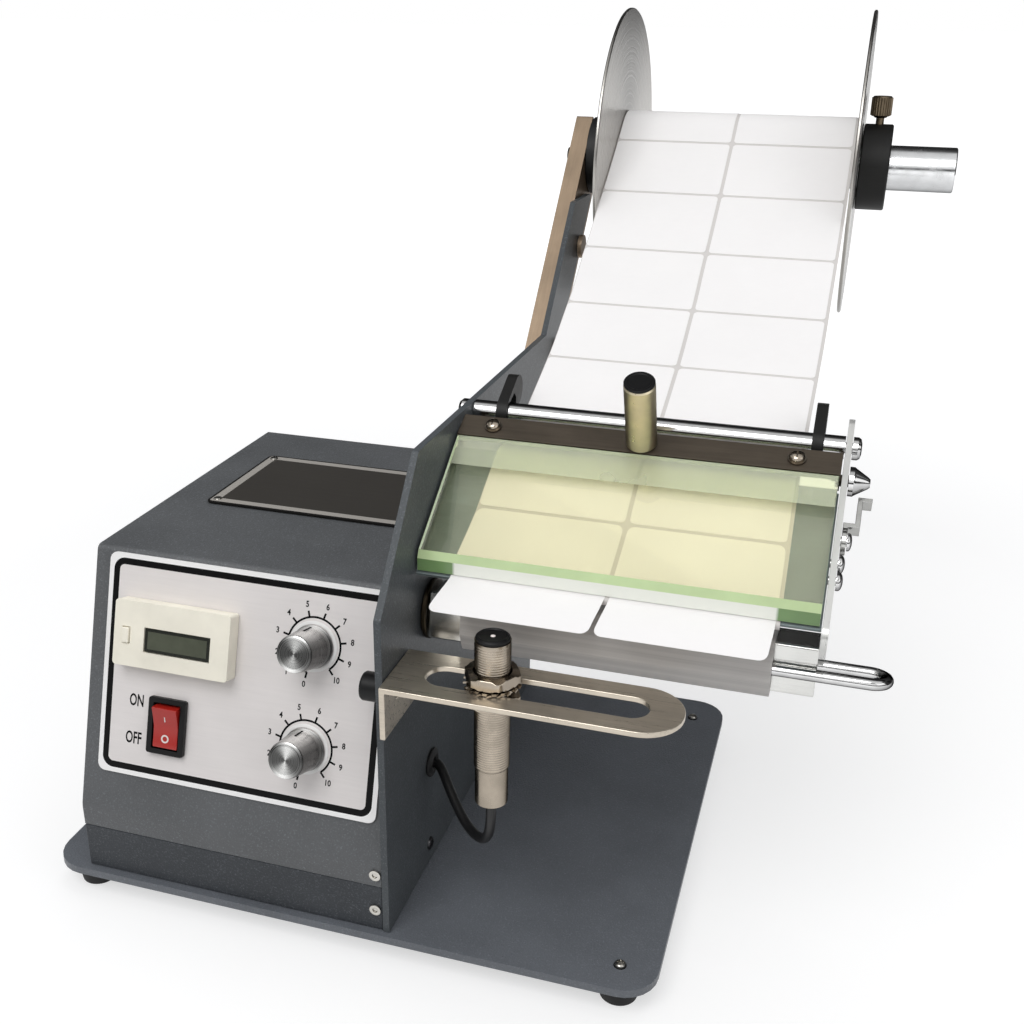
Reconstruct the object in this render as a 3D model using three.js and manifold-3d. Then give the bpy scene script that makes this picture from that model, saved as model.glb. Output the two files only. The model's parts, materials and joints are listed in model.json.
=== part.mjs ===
import * as THREE from 'three';
import { mergeVertices } from 'three/addons/utils/BufferGeometryUtils.js';
import Module from 'manifold-3d';

// Desk-top label dispenser, in millimetres. While it is being modelled, X runs to the right from the
// open face of the side plate, Y runs back from the front edge of the base, and Z is up from the top
// of the base. At the end the whole machine is moved so that its origin is in the middle of its
// footprint, at the soles of the feet.

const wasm = await Module();
wasm.setup();

const turn = 2 * Math.PI;
const radians = Math.PI / 180;

// Driving dimensions: the base and the box
const baseWidth = 236;
const baseDepth = 197;
const baseThickness = 3.2;
const baseCorner = 13;
const baseLeft = -140.5;
const sheet = 1.5;
const boxLeft = -123.6;
const boxRight = -2.8;
const boxFront = 2.9;
const boxBack = 171.6;
const boxHeight = 122.4;
const skirtHeight = 18.8;
const frontLip = 8.81;
const panelTilt = 17.44 * radians;

// Driving dimensions: the side plate, the reel and the label path
const plateThickness = 2.5;
const plateFront = 2.3;
const shoulderRise = 2.6;
const plateRise = 47.8;
const plateBrow = 39.5;
const plateBack = 190;
const reelY = 297.6;
const reelRise = 116;
const discRadius = 67.1;
const tubeRadius = 10;
const tubeEnd = 166.4;
const rollRadius = 21;
const discLeftFace = 13.9;
const rollSlack = 3.7;
const webLeft = 15.8;
const webWidth = 104.6;
const webSlackTurn = 9.5 * radians;
const webThickness = 0.4;
const stageY = 33.8;
const stageRise = 6.2;
const stageTilt = 33.1 * radians;
const stageLength = 53;
const endPlateInside = 134.2;
const endPlateThickness = 2;
const rodY = 100.5;
const rodRise = 43.8;
const rodRadius = 4;
const takeUpY = 48.5;
const takeUpDrop = 13.9;
const takeUpSide = 17;
const takeUpCorner = 1;
const takeUpTilt = 9 * radians;

// Clearances shared by the whole machine
const gap = 0.3;
const overrun = 2;

// Sizes that follow
const plateBody = -plateThickness;
const webRight = webLeft + webWidth;
const baseRight = baseLeft + baseWidth;
const endPlateOutside = endPlateInside + endPlateThickness;
const coverFoot = skirtHeight + gap;
const slopeFoot = coverFoot + frontLip;
const slopeLength = (boxHeight - slopeFoot) / Math.cos(panelTilt);
const panelTopY = boxFront + slopeLength * Math.sin(panelTilt);
const takeUpZ = boxHeight - takeUpDrop;
const stageZ = boxHeight + stageRise;
const rodZ = boxHeight + rodRise;
const reelZ = boxHeight + reelRise;
const plateShoulder = boxHeight + shoulderRise;
const plateTop = boxHeight + plateRise;

// Numbers of flat sides given to round shapes
const fine = 64;
const medium = 24;
const coarse = 16;

const finish = (color, roughness, metalness, extra = {}) =>
  new THREE.MeshStandardMaterial({ color, roughness, metalness, ...extra });

const finishes = {
  hammered: () => finish(0x4b5056, 0.45, 0.3),
  rubber: () => finish(0x1c1c1d, 0.85, 0),
  silverPanel: () => finish(0xd4d2ce, 0.4, 0.1),
  ivory: () => finish(0xe9e4d3, 0.45, 0),
  darkWindow: () => finish(0x4d5141, 0.15, 0),
  blackPlastic: () => finish(0x1a1a1b, 0.45, 0),
  redPlastic: () => finish(0xc0302a, 0.3, 0),
  spunAluminium: () => finish(0xc9c8c4, 0.3, 0.9),
  steel: () => finish(0xa9a49b, 0.35, 0.95),
  warmSteel: () => finish(0x7d7266, 0.4, 0.9),
  nickel: () => finish(0xb9b09c, 0.25, 0.95),
  chrome: () => finish(0xd8d8d8, 0.1, 1),
  discMetal: () => finish(0x8f9088, 0.4, 0.85),
  brass: () => finish(0xb08d4a, 0.35, 0.9),
  paper: () => finish(0xf3f1ef, 0.8, 0),
  liner: () => finish(0xb9b2ac, 0.7, 0),
  glass: () => finish(0xd3e6b4, 0.08, 0, { transparent: true, opacity: 0.5 }),
  board: () => finish(0x2c6b3c, 0.6, 0),
};

// Turns a geometry into one closed mesh of shared corners, with its faces pointing outwards.
function closed(geometry) {
  const bare = geometry.clone();
  bare.deleteAttribute('normal');
  bare.deleteAttribute('uv');
  const merged = mergeVertices(bare);
  const corners = merged.getAttribute('position');
  const order = merged.getIndex().array;
  const kept = [];
  let volume = 0;
  const a = new THREE.Vector3();
  const b = new THREE.Vector3();
  const c = new THREE.Vector3();
  for (let i = 0; i < order.length; i += 3) {
    const [p, q, r] = [order[i], order[i + 1], order[i + 2]];
    if (p === q || q === r || r === p) continue;
    kept.push(p, q, r);
    a.fromBufferAttribute(corners, p);
    b.fromBufferAttribute(corners, q);
    c.fromBufferAttribute(corners, r);
    volume += a.dot(b.cross(c));
  }
  if (volume < 0) kept.reverse();
  merged.setIndex(kept);
  return merged;
}

function toSolid(geometry) {
  const merged = closed(geometry);
  return new wasm.Manifold(new wasm.Mesh({
    numProp: 3,
    vertProperties: Float32Array.from(merged.getAttribute('position').array),
    triVerts: Uint32Array.from(merged.getIndex().array),
  }));
}

function toGeometry(solid) {
  const mesh = solid.getMesh();
  const geometry = new THREE.BufferGeometry();
  geometry.setAttribute('position', new THREE.BufferAttribute(mesh.vertProperties, 3));
  geometry.setIndex(Array.from(mesh.triVerts));
  return geometry;
}

function join(first, ...others) {
  return toGeometry(others.reduce((sum, other) => sum.add(toSolid(other)), toSolid(first)));
}

function cut(body, ...tools) {
  return toGeometry(tools.reduce((rest, tool) => rest.subtract(toSolid(tool)), toSolid(body)));
}

// An outline of corners [x, y, radius], each rounded by an arc where its radius isn't zero.
function outline(corners, steps = 6) {
  const points = [];
  corners.forEach(([x, y, radius], i) => {
    const here = new THREE.Vector2(x, y);
    if (!radius) {
      points.push(here);
      return;
    }
    const [px, py] = corners[(i + corners.length - 1) % corners.length];
    const [nx, ny] = corners[(i + 1) % corners.length];
    const back = new THREE.Vector2(px - x, py - y).normalize();
    const ahead = new THREE.Vector2(nx - x, ny - y).normalize();
    const half = Math.acos(THREE.MathUtils.clamp(back.dot(ahead), -1, 1)) / 2;
    const reach = radius / Math.tan(half);
    const centre = here.clone()
      .addScaledVector(back.clone().add(ahead).normalize(), radius / Math.sin(half));
    const start = here.clone().addScaledVector(back, reach).sub(centre);
    const end = here.clone().addScaledVector(ahead, reach).sub(centre);
    const sweep = Math.atan2(start.cross(end), start.dot(end));
    for (let k = 0; k <= steps; k += 1) {
      points.push(start.clone().rotateAround(new THREE.Vector2(), (sweep * k) / steps).add(centre));
    }
  });
  return new THREE.Shape(points);
}

function block(left, right, bottom, top, radius = 0) {
  return outline([[left, bottom, radius], [right, bottom, radius], [right, top, radius], [left, top, radius]]);
}

function disc(radius, x = 0, y = 0, sides = medium) {
  const points = [];
  for (let i = 0; i < sides; i += 1) {
    const angle = (turn * i) / sides;
    points.push(new THREE.Vector2(x + radius * Math.cos(angle), y + radius * Math.sin(angle)));
  }
  return new THREE.Shape(points);
}

// Pushes an outline straight up from one height to another.
function raise(shape, from, to) {
  const geometry = new THREE.ExtrudeGeometry(shape, { depth: to - from, bevelEnabled: false });
  return geometry.translate(0, 0, from);
}

// Pushes an outline drawn in Y and Z along X.
const sideways = new THREE.Matrix4().makeBasis(
  new THREE.Vector3(0, 1, 0), new THREE.Vector3(0, 0, 1), new THREE.Vector3(1, 0, 0));

function across(shape, from, to) {
  return raise(shape, from, to).applyMatrix4(sideways);
}

// Spins a profile of [radius, height] round the Z axis, or round X for turned parts that lie sideways.
function spin(profile, sides = medium) {
  const points = profile.map(([radius, height]) => new THREE.Vector2(radius, height));
  return new THREE.LatheGeometry(points, sides).rotateX(turn / 4);
}

function spinAcross(profile, y = 0, z = 0, sides = medium) {
  const points = profile.map(([radius, height]) => new THREE.Vector2(radius, height));
  return new THREE.LatheGeometry(points, sides).rotateZ(-turn / 4).translate(0, y, z);
}

function pin(radius, from, to, y = 0, z = 0, sides = coarse) {
  return across(disc(radius, y, z, sides), from, to);
}

function post(radius, from, to, x = 0, y = 0, sides = coarse) {
  return raise(disc(radius, x, y, sides), from, to);
}

function hexagon(acrossFlats, x = 0, y = 0) {
  return disc(acrossFlats / 2 / Math.cos(turn / 12), x, y, 6);
}

const machine = new THREE.Group();

function add(parent, name, material, geometry) {
  const shown = geometry.toNonIndexed();
  shown.computeVertexNormals();
  const mesh = new THREE.Mesh(shown, material);
  mesh.name = name;
  parent.add(mesh);
  return mesh;
}

// Base plate and feet
const footRadius = 8;
const footSole = 6.5;
const footHeight = 9;
const footInsetX = 13.6;
const footInsetFront = 12;
const footInsetBack = 16;
const footBottom = -baseThickness - gap - footHeight;
const studRadius = 2;
const studHead = 2.9;
const studHeadHeight = 1.7;
const footPlaces = {
  front_left: [baseLeft + footInsetX, footInsetFront],
  front_right: [baseRight - footInsetX, footInsetFront],
  rear_left: [baseLeft + footInsetX, baseDepth - footInsetBack],
  rear_right: [baseRight - footInsetX, baseDepth - footInsetBack],
};

function buildBase() {
  const slab = raise(block(baseLeft, baseRight, 0, baseDepth, baseCorner), -baseThickness, 0);
  const holes = Object.values(footPlaces).map(([x, y]) =>
    post(studRadius + gap, -baseThickness - overrun, overrun, x, y));
  add(machine, 'base_plate', finishes.hammered(), cut(slab, ...holes));
  const seat = -baseThickness - gap;
  const profile = [
    [0, footBottom], [footSole, footBottom], [footRadius, seat], [studRadius, seat],
    [studRadius, gap], [studHead, gap], [studHead * 0.85, studHeadHeight], [0, studHeadHeight + gap],
  ];
  for (const [place, [x, y]] of Object.entries(footPlaces)) {
    const foot = add(machine, `foot_${place}`, finishes.rubber(), closed(spin(profile, coarse)));
    foot.position.set(x, y, 0);
  }
}

// Box: a folded cover with a sloping front over a shallow tray
const bendFoot = 10;
const bendEdge = 2.5;
const inletWidth = 27.4;
const inletHeight = 20;
const inletX = -80;
const inletZ = 52;
const boxProfile = (inset, bottom) => outline([
  [boxFront + inset, bottom, 0],
  [boxBack - inset, bottom, 0],
  [boxBack - inset, boxHeight - inset, bendEdge],
  [panelTopY + inset * Math.tan((turn / 4 - panelTilt) / 2), boxHeight - inset, bendEdge],
  [boxFront + inset, slopeFoot - inset * Math.tan(panelTilt / 2), bendFoot],
]);

// The panel's own frame: X to the right, Y up the slope from its lower end, Z out of the box.
const panelFrame = new THREE.Group();
panelFrame.position.set(0, panelTopY, boxHeight);
panelFrame.rotation.x = turn / 4 - panelTilt;
panelFrame.updateMatrix();
const onPanel = (geometry) => geometry.applyMatrix4(panelFrame.matrix);

const panelLeft = -117.2;
const panelRight = -6;
const panelFromTop = 1.4;
const panelFromFoot = 15.35;
const panelBottom = slopeLength - panelFromFoot;
const panelLength = panelBottom - panelFromTop;
const panelThickness = 0.8;
const panelCorner = 3;
const panelFace = gap + panelThickness;
const counterHeight = 24;
const switchHeight = 21;
const panelSpare = panelLength - counterHeight - switchHeight;
const counterSpareShare = 0.42;
const switchSpareShare = 0.7125;
const dialShares = { length: 0.282, speed: 0.7315 };
const counter = {
  left: -110.7, top: panelFromTop + panelSpare * counterSpareShare, width: 48, height: counterHeight,
  proud: 6.3, bodyWidth: 45, bodyHeight: 21.5, depth: 20, corner: 1.2, windowLeft: 13.2, windowTop: 7, windowWidth: 25.5, windowHeight: 12, windowDepth: 1.6,
  buttonLeft: 4.4, buttonTop: 9.6, buttonWidth: 3.2, buttonHeight: 6.2, buttonProud: 0.9,
  buttonTravel: 0.8, buttonDepth: 3.2,
};
const power = {
  left: -96.4, top: panelFromTop + counterHeight + panelSpare * switchSpareShare, width: 15,
  height: switchHeight, proud: 2, corner: 1, bodyWidth: 12.8, bodyHeight: 19,
  depth: 16, wall: 1, rockerWidth: 10, rockerHeight: 15.6, pivotHeight: 0.6, rockerProud: 2.4,
  rockerTilt: 9 * radians, rockerDepth: 7,
};
const dial = {
  x: -34.7, lengthFromTop: panelFromTop + panelLength * dialShares.length,
  speedFromTop: panelFromTop + panelLength * dialShares.speed, rootRadius: 7.6, frontRadius: 6.6, length: 15.6,
  edge: 0.8, bore: 3, boreDepth: 9, bushing: 3.5, potRadius: 8.5, potDepth: 12,
};

// Cuts the same opening through the cover and the panel for each thing that sits in them.
const panelOpenings = [
  block(counter.left + (counter.width - counter.bodyWidth) / 2 - gap,
    counter.left + (counter.width + counter.bodyWidth) / 2 + gap,
    -counter.top - (counter.height + counter.bodyHeight) / 2 - gap,
    -counter.top - (counter.height - counter.bodyHeight) / 2 + gap),
  block(power.left + (power.width - power.bodyWidth) / 2 - gap,
    power.left + (power.width + power.bodyWidth) / 2 + gap,
    -power.top - (power.height + power.bodyHeight) / 2 - gap,
    -power.top - (power.height - power.bodyHeight) / 2 + gap),
  disc(dial.bushing + gap, dial.x, -dial.lengthFromTop, coarse),
  disc(dial.bushing + gap, dial.x, -dial.speedFromTop, coarse),
];

function buildBox() {
  const left = boxLeft;
  const right = boxRight;
  const trayOuter = raise(block(left, right, boxFront, boxBack), gap, skirtHeight);
  const trayInner = raise(block(left + sheet, right - sheet, boxFront + sheet, boxBack - sheet),
    gap + sheet, skirtHeight + overrun);
  add(machine, 'chassis_tray', finishes.hammered(), cut(trayOuter, trayInner));

  const outer = across(boxProfile(0, coverFoot), left, right);
  const inner = across(boxProfile(sheet, coverFoot - overrun), left + sheet, right + overrun);
  const openings = panelOpenings.map((shape) => onPanel(raise(shape, -sheet - overrun, overrun)));
  const inletGap = new THREE.BoxGeometry(inletWidth + 2 * gap, 4 * overrun, inletHeight + 2 * gap)
    .translate(inletX, boxBack, inletZ);
  add(machine, 'housing_cover', finishes.hammered(), cut(outer, inner, ...openings, inletGap));
}

function buildPanel() {
  const sheetOutline = block(panelLeft, panelRight, -panelBottom, -panelFromTop, panelCorner);
  const openings = panelOpenings.map((shape) => raise(shape, -overrun, panelFace + overrun));
  add(panelFrame, 'control_panel', finishes.silverPanel(),
    cut(raise(sheetOutline, gap, panelFace), ...openings));
}

function buildCounter() {
  const c = counter;
  const top = -c.top;
  const base = panelFace + gap;
  const bezel = raise(block(c.left, c.left + c.width, top - c.height, top, c.corner), base, base + c.proud);
  const sideMargin = (c.width - c.bodyWidth) / 2;
  const endMargin = (c.height - c.bodyHeight) / 2;
  const body = raise(block(c.left + sideMargin, c.left + c.width - sideMargin,
    top - c.height + endMargin, top - endMargin), base - c.depth, base + c.proud / 2);
  const face = base + c.proud;
  const windowX = c.left + c.windowLeft;
  const windowY = top - c.windowTop - c.windowHeight;
  const pocket = raise(block(windowX, windowX + c.windowWidth, windowY, windowY + c.windowHeight),
    face - c.windowDepth, face + overrun);
  const buttonX = c.left + c.buttonLeft;
  const buttonY = top - c.buttonTop - c.buttonHeight;
  const well = raise(block(buttonX, buttonX + c.buttonWidth, buttonY, buttonY + c.buttonHeight),
    face - c.buttonDepth, face + overrun);
  add(panelFrame, 'counter_body', finishes.ivory(), cut(join(bezel, body), pocket, well));
  add(panelFrame, 'counter_window', finishes.darkWindow(),
    closed(raise(block(windowX + gap, windowX + c.windowWidth - gap, windowY + gap,
      windowY + c.windowHeight - gap), face - c.windowDepth + gap, face - gap)));
  add(panelFrame, 'counter_reset', finishes.ivory(),
    closed(raise(block(buttonX + gap, buttonX + c.buttonWidth - gap, buttonY + gap,
      buttonY + c.buttonHeight - gap), face - c.buttonDepth + c.buttonTravel + gap, face + c.buttonProud)));
}

function buildSwitch() {
  const p = power;
  const base = panelFace + gap;
  const face = base + p.proud;
  const middleX = p.left + p.width / 2;
  const middleY = -p.top - p.height / 2;
  const centred = (width, height, radius = 0) => block(middleX - width / 2, middleX + width / 2,
    middleY - height / 2, middleY + height / 2, radius);
  const bezel = raise(centred(p.width, p.height, p.corner), base, face);
  const body = raise(centred(p.bodyWidth, p.bodyHeight), base - p.depth, base + p.proud / 2);
  const mouth = raise(centred(p.bodyWidth - 2 * p.wall, p.bodyHeight - 2 * p.wall),
    base - p.depth + 2 * p.wall, face + overrun);
  add(panelFrame, 'switch_bezel', finishes.blackPlastic(), cut(join(bezel, body), mouth));

  // The rocker tips about a line across its middle; at rest its lower half is pressed in.
  const half = p.rockerHeight / 2;
  const crown = p.rockerProud;
  const sunk = p.rockerDepth;
  const valley = crown - half * Math.tan(p.rockerTilt);
  const section = outline([[-half, crown, 0], [0, valley, 0], [half, crown, 0], [half * 0.94, -sunk, 0],
    [-half * 0.94, -sunk, 0]]);
  const rocker = closed(across(section, -p.rockerWidth / 2, p.rockerWidth / 2));
  const holder = new THREE.Group();
  holder.position.set(middleX, middleY, base + p.pivotHeight);
  holder.rotation.x = p.rockerTilt;
  panelFrame.add(holder);
  add(holder, 'power_rocker', finishes.redPlastic(), rocker);
}

function buildDials() {
  const d = dial;
  const root = panelFace + gap;
  const front = root + d.length;
  const knob = [
    [d.bore + gap, root], [d.rootRadius, root], [d.rootRadius, root + overrun],
    [d.frontRadius, front - d.edge], [d.frontRadius - d.edge, front], [0, front],
    [0, root + d.boreDepth + gap], [d.bore + gap, root + d.boreDepth + gap], [d.bore + gap, root],
  ];
  const behind = -sheet - gap;
  const pot = [
    [0, behind - d.potDepth], [d.potRadius, behind - d.potDepth], [d.potRadius, behind],
    [d.bushing, behind], [d.bushing, panelFace], [d.bore, panelFace], [d.bore, root + d.boreDepth],
    [0, root + d.boreDepth],
  ];
  for (const [use, fromTop] of [['length', d.lengthFromTop], ['speed', d.speedFromTop]]) {
    const knobMesh = add(panelFrame, `${use}_knob`, finishes.spunAluminium(), closed(spin(knob)));
    knobMesh.position.set(d.x, -fromTop, 0);
    const potMesh = add(panelFrame, `${use}_potentiometer`, finishes.steel(), closed(spin(pot)));
    potMesh.position.set(d.x, -fromTop, 0);
  }
}

const cover = { plateLeft: -106.5, plateRight: -16.5, plateFront: 81, plateBack: 138, plateThickness: 0.8 };

function buildTopPlate() {
  add(machine, 'top_plate', finishes.blackPlastic(),
    closed(raise(block(cover.plateLeft, cover.plateRight, cover.plateFront, cover.plateBack, bendEdge),
      boxHeight + gap, boxHeight + gap + cover.plateThickness)));
}

// Side plate, with a tongue that rises behind to carry the reel arm
const armTilt = 47.5 * radians;
const armWidth = 30;
const armThickness = 8;
const armAbove = 12;
const armBelow = 130;
const armBoltsFromReel = [52, 108];
const armBoltRadius = 3;
const armBoltHead = 5.5;
const pivotAhead = 16.5;
const pivotBelow = 6.2;
const tongue = { below: 16.4, front: 45.6, back: 11.6, rootFront: 93.6, rootBelow: 120.4 };
const plateCorner = 1.5;
const cableHole = { y: 47.3, z: 44, radius: 4 };
const bushing = { radius: 8, flange: 11, flangeThickness: 1.8, journal: 5, inside: 3 };
const pivotY = rodY - pivotAhead;
const pivotZ = rodZ - pivotBelow;
const pivotRadius = 2;
const rodScrewRadius = 1.9;
const bracket = {
  front: -2, depth: 28, top: 103.5, thickness: 2, reach: 97, flangeFoot: 84, slotLeft: 12, slotRight: 86,
  slotWidth: 12.6, knobY: 10, knobZ: 96.2, knobRadius: 5, knobThickness: 7.4, knobEdge: 1,
  knobStud: 2,
};
const armAxis = new THREE.Vector2(Math.cos(armTilt), Math.sin(armTilt));
const armPoint = (along, side = 0) =>
  [reelY + armAxis.x * along + armAxis.y * side, reelZ + armAxis.y * along - armAxis.x * side];

function buildSidePlate() {
  const profile = outline([
    [plateFront, gap, 0], [plateBack, gap, 0], [plateBack, reelZ - tongue.rootBelow, plateCorner],
    [reelY - tongue.back, reelZ - tongue.below, plateCorner],
    [reelY - tongue.front, reelZ - tongue.below, plateCorner],
    [reelY - tongue.rootFront, plateTop, plateCorner], [plateBrow, plateTop, plateCorner],
    [plateFront, plateShoulder, plateCorner],
  ]);
  const drill = (radius, y, z, sides = coarse) =>
    pin(radius, plateBody - overrun, overrun, y, z, sides);
  const boltHoles = armBoltsFromReel.map((along) => drill(armBoltRadius + gap, ...armPoint(-along)));
  add(machine, 'side_plate', finishes.hammered(), cut(across(profile, plateBody, 0),
    drill(cableHole.radius + gap, cableHole.y, cableHole.z, medium),
    drill(bushing.radius + gap, takeUpY, takeUpZ, medium),
    drill(pivotRadius + gap, pivotY, pivotZ),
    drill(rodScrewRadius + gap, rodY, rodZ),
    drill(bracket.knobStud + gap, bracket.knobY, bracket.knobZ),
    ...boltHoles));
}

// Reel: the arm, the spindle it carries, and the tube, discs and roll that spin on it
const spindleRadius = 7.4;
const spindleEnd = 60;
const bossRadius = 18;
const bossFace = 8;
const discThickness = 1.5;
const hubRadius = 14;
const tubeWall = 2;
const collar = { radius: 19.1, width: 13 };
const thumb = { radius: 4.7, height: 9.5, neck: 1.8, neckHeight: 2.6, hole: 2.2 };
const spindleHead = { radius: 7, thickness: 4, stud: 4 };
const rollLeft = discLeftFace + gap;
const rollRight = rollLeft + webWidth;
const discRightFace = rollRight + rollSlack;
const collarLeft = discRightFace + discThickness + gap;
const thumbX = collarLeft + collar.width / 2;

function buildReelArm() {
  const armRight = plateBody - gap;
  const armLeft = armRight - armThickness;
  const bar = across(outline([
    [...armPoint(armAbove, armWidth / 2), plateCorner], [...armPoint(armAbove, -armWidth / 2), plateCorner],
    [...armPoint(-armBelow, -armWidth / 2), plateCorner], [...armPoint(-armBelow, armWidth / 2), plateCorner],
  ]), armLeft, armRight);
  const bolts = armBoltsFromReel.flatMap((along) => {
    const [y, z] = armPoint(-along);
    return [pin(armBoltRadius, armLeft, gap + overrun, y, z), pin(armBoltHead, gap, gap + overrun, y, z)];
  });
  const bore = pin(spindleHead.stud + gap, armLeft - overrun, armRight + overrun, reelY, reelZ);
  add(machine, 'reel_arm', finishes.warmSteel(), cut(join(bar, ...bolts), bore));

  const head = armLeft - gap;
  add(machine, 'reel_spindle', finishes.blackPlastic(), closed(spinAcross([
    [0, head - spindleHead.thickness], [spindleHead.radius, head - spindleHead.thickness],
    [spindleHead.radius, head], [spindleHead.stud, head], [spindleHead.stud, armRight + gap],
    [bossRadius, armRight + gap], [bossRadius, bossFace], [spindleRadius, bossFace],
    [spindleRadius, spindleEnd], [0, spindleEnd],
  ], reelY, reelZ)));
}

function buildReel() {
  const bore = tubeRadius + gap;
  const tubeStart = bossFace + gap;
  add(machine, 'reel_tube', finishes.spunAluminium(), cut(
    pin(tubeRadius, tubeStart, tubeEnd, reelY, reelZ, medium),
    pin(tubeRadius - tubeWall, tubeStart - overrun, tubeEnd + overrun, reelY, reelZ, medium)));
  const discLeftBack = discLeftFace - discThickness;
  add(machine, 'disc_left', finishes.discMetal(), closed(spinAcross([
    [bore, tubeStart + gap], [hubRadius, tubeStart + gap], [hubRadius, discLeftBack],
    [discRadius, discLeftBack], [discRadius, discLeftFace], [bore, discLeftFace],
    [bore, tubeStart + gap],
  ], reelY, reelZ, fine)));
  add(machine, 'disc_right', finishes.discMetal(), closed(spinAcross([
    [bore, discRightFace], [discRadius, discRightFace], [discRadius, discRightFace + discThickness],
    [bore, discRightFace + discThickness], [bore, discRightFace],
  ], reelY, reelZ, fine)));
  add(machine, 'label_roll', finishes.paper(), closed(spinAcross([
    [bore, rollLeft], [rollRadius, rollLeft], [rollRadius, rollRight], [bore, rollRight], [bore, rollLeft],
  ], reelY, reelZ, fine)));
  const ring = spinAcross([
    [bore, collarLeft], [collar.radius, collarLeft], [collar.radius, collarLeft + collar.width],
    [bore, collarLeft + collar.width], [bore, collarLeft],
  ], reelY, reelZ);
  add(machine, 'disc_collar', finishes.blackPlastic(), cut(ring,
    post(thumb.hole, reelZ, reelZ + collar.radius + overrun, thumbX, reelY)));
  const top = collar.radius + thumb.neckHeight;
  const screw = add(machine, 'collar_screw', finishes.warmSteel(), closed(spin([
    [0, bore], [thumb.neck, bore], [thumb.neck, top], [thumb.radius, top],
    [thumb.radius, top + thumb.height], [0, top + thumb.height],
  ], medium)));
  screw.position.set(thumbX, reelY, reelZ);
}

// Stage frame: Y up the slope from the peeling edge, Z out of the stage's upper face
const stageFrame = new THREE.Group();
stageFrame.position.set(0, stageY, stageZ);
stageFrame.rotation.x = stageTilt;
machine.add(stageFrame);
const uphill = new THREE.Vector2(Math.cos(stageTilt), Math.sin(stageTilt));
const inStage = (y, z) => {
  const [dy, dz] = [y - stageY, z - stageZ];
  return [dy * uphill.x + dz * uphill.y, dz * uphill.x - dy * uphill.y];
};
const outOfStage = (y, z) =>
  [stageY + y * uphill.x - z * uphill.y, stageZ + y * uphill.y + z * uphill.x];

const flangeDepth = 13;
const flangeFront = 8;
const stageScrew = { radius: 1.4, head: 3.1, headThickness: 2.2, y: [22.3, 28.9], z: -6 };
const stageRight = endPlateInside - gap;

function buildStage() {
  const deck = across(block(0, stageLength, -sheet, 0), gap, stageRight);
  const flange = (from) =>
    across(block(flangeFront, stageLength, -flangeDepth, 0), from, from + sheet);
  const holes = stageScrew.y.map((y) =>
    pin(stageScrew.radius + gap, stageRight - sheet - overrun, stageRight + overrun, y, stageScrew.z));
  add(stageFrame, 'stage_plate', finishes.steel(),
    cut(join(deck, flange(gap), flange(stageRight - sheet)), ...holes));
}

const endPlate = { front: -6, back: 84.5, low: -11.4, high: 4, corner: 5 };
const lever = {
  y: 38, z: -6, screw: 1.5, screwHead: 3, screwHeadThickness: 1.6, base: 4.5, thickness: 1.6, offset: 5.4,
  width: 5, length: 12.4, tip: 3,
};

function buildEndPlate() {
  const [pivotAlong, pivotUp] = inStage(pivotY, pivotZ);
  const [rodAlong, rodUp] = inStage(rodY, rodZ);
  const e = endPlate;
  const plate = across(block(e.front, e.back, e.low, e.high, e.corner), endPlateInside, endPlateOutside);
  const drill = (radius, y, z) =>
    pin(radius, endPlateInside - overrun, endPlateOutside + overrun, y, z);
  add(stageFrame, 'end_plate', finishes.chrome(), cut(plate,
    drill(pivotRadius + gap, pivotAlong, pivotUp),
    drill(rodScrewRadius + gap, rodAlong, rodUp),
    drill(lever.screw + gap, lever.y, lever.z),
    ...stageScrew.y.map((y) => drill(stageScrew.radius + gap, y, stageScrew.z))));
  const seat = endPlateOutside + gap;
  const names = ['stage_screw_lower', 'stage_screw_upper'];
  stageScrew.y.forEach((y, i) => {
    add(stageFrame, names[i], finishes.steel(), closed(spinAcross([
      [0, stageRight - sheet], [stageScrew.radius, stageRight - sheet], [stageScrew.radius, seat],
      [stageScrew.head, seat], [stageScrew.head, seat + stageScrew.headThickness / 2],
      [stageScrew.head / 2, seat + stageScrew.headThickness], [0, seat + stageScrew.headThickness],
    ], y, stageScrew.z, coarse)));
  });
}

function buildLever() {
  const l = lever;
  const seat = endPlateOutside + gap;
  const flat = join(
    pin(l.base, seat, seat + l.thickness, l.y, l.z, medium),
    across(block(l.y, l.y + l.base + l.thickness, l.z - l.width / 2, l.z + l.width / 2), seat,
      seat + l.thickness),
    across(block(l.y + l.base, l.y + l.base + l.thickness, l.z - l.width / 2, l.z + l.width / 2), seat,
      seat + l.offset),
    across(block(l.y + l.base, l.y + l.base + l.length, l.z - l.width / 2, l.z + l.width / 2),
      seat + l.offset - l.thickness, seat + l.offset),
    across(block(l.y + l.base + l.length - l.thickness, l.y + l.base + l.length, l.z - l.width / 2,
      l.z + l.width / 2), seat + l.offset - l.thickness, seat + l.offset + l.tip));
  add(stageFrame, 'latch_lever', finishes.chrome(),
    cut(flat, pin(l.screw + gap, seat - overrun, seat + l.thickness + overrun, l.y, l.z)));
  const headSeat = seat + l.thickness + gap;
  add(stageFrame, 'latch_screw', finishes.steel(), closed(spinAcross([
    [0, endPlateInside + gap], [l.screw, endPlateInside + gap], [l.screw, headSeat],
    [l.screwHead, headSeat], [l.screwHead, headSeat + l.screwHeadThickness],
    [0, headSeat + l.screwHeadThickness],
  ], l.y, l.z, coarse)));
}

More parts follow.
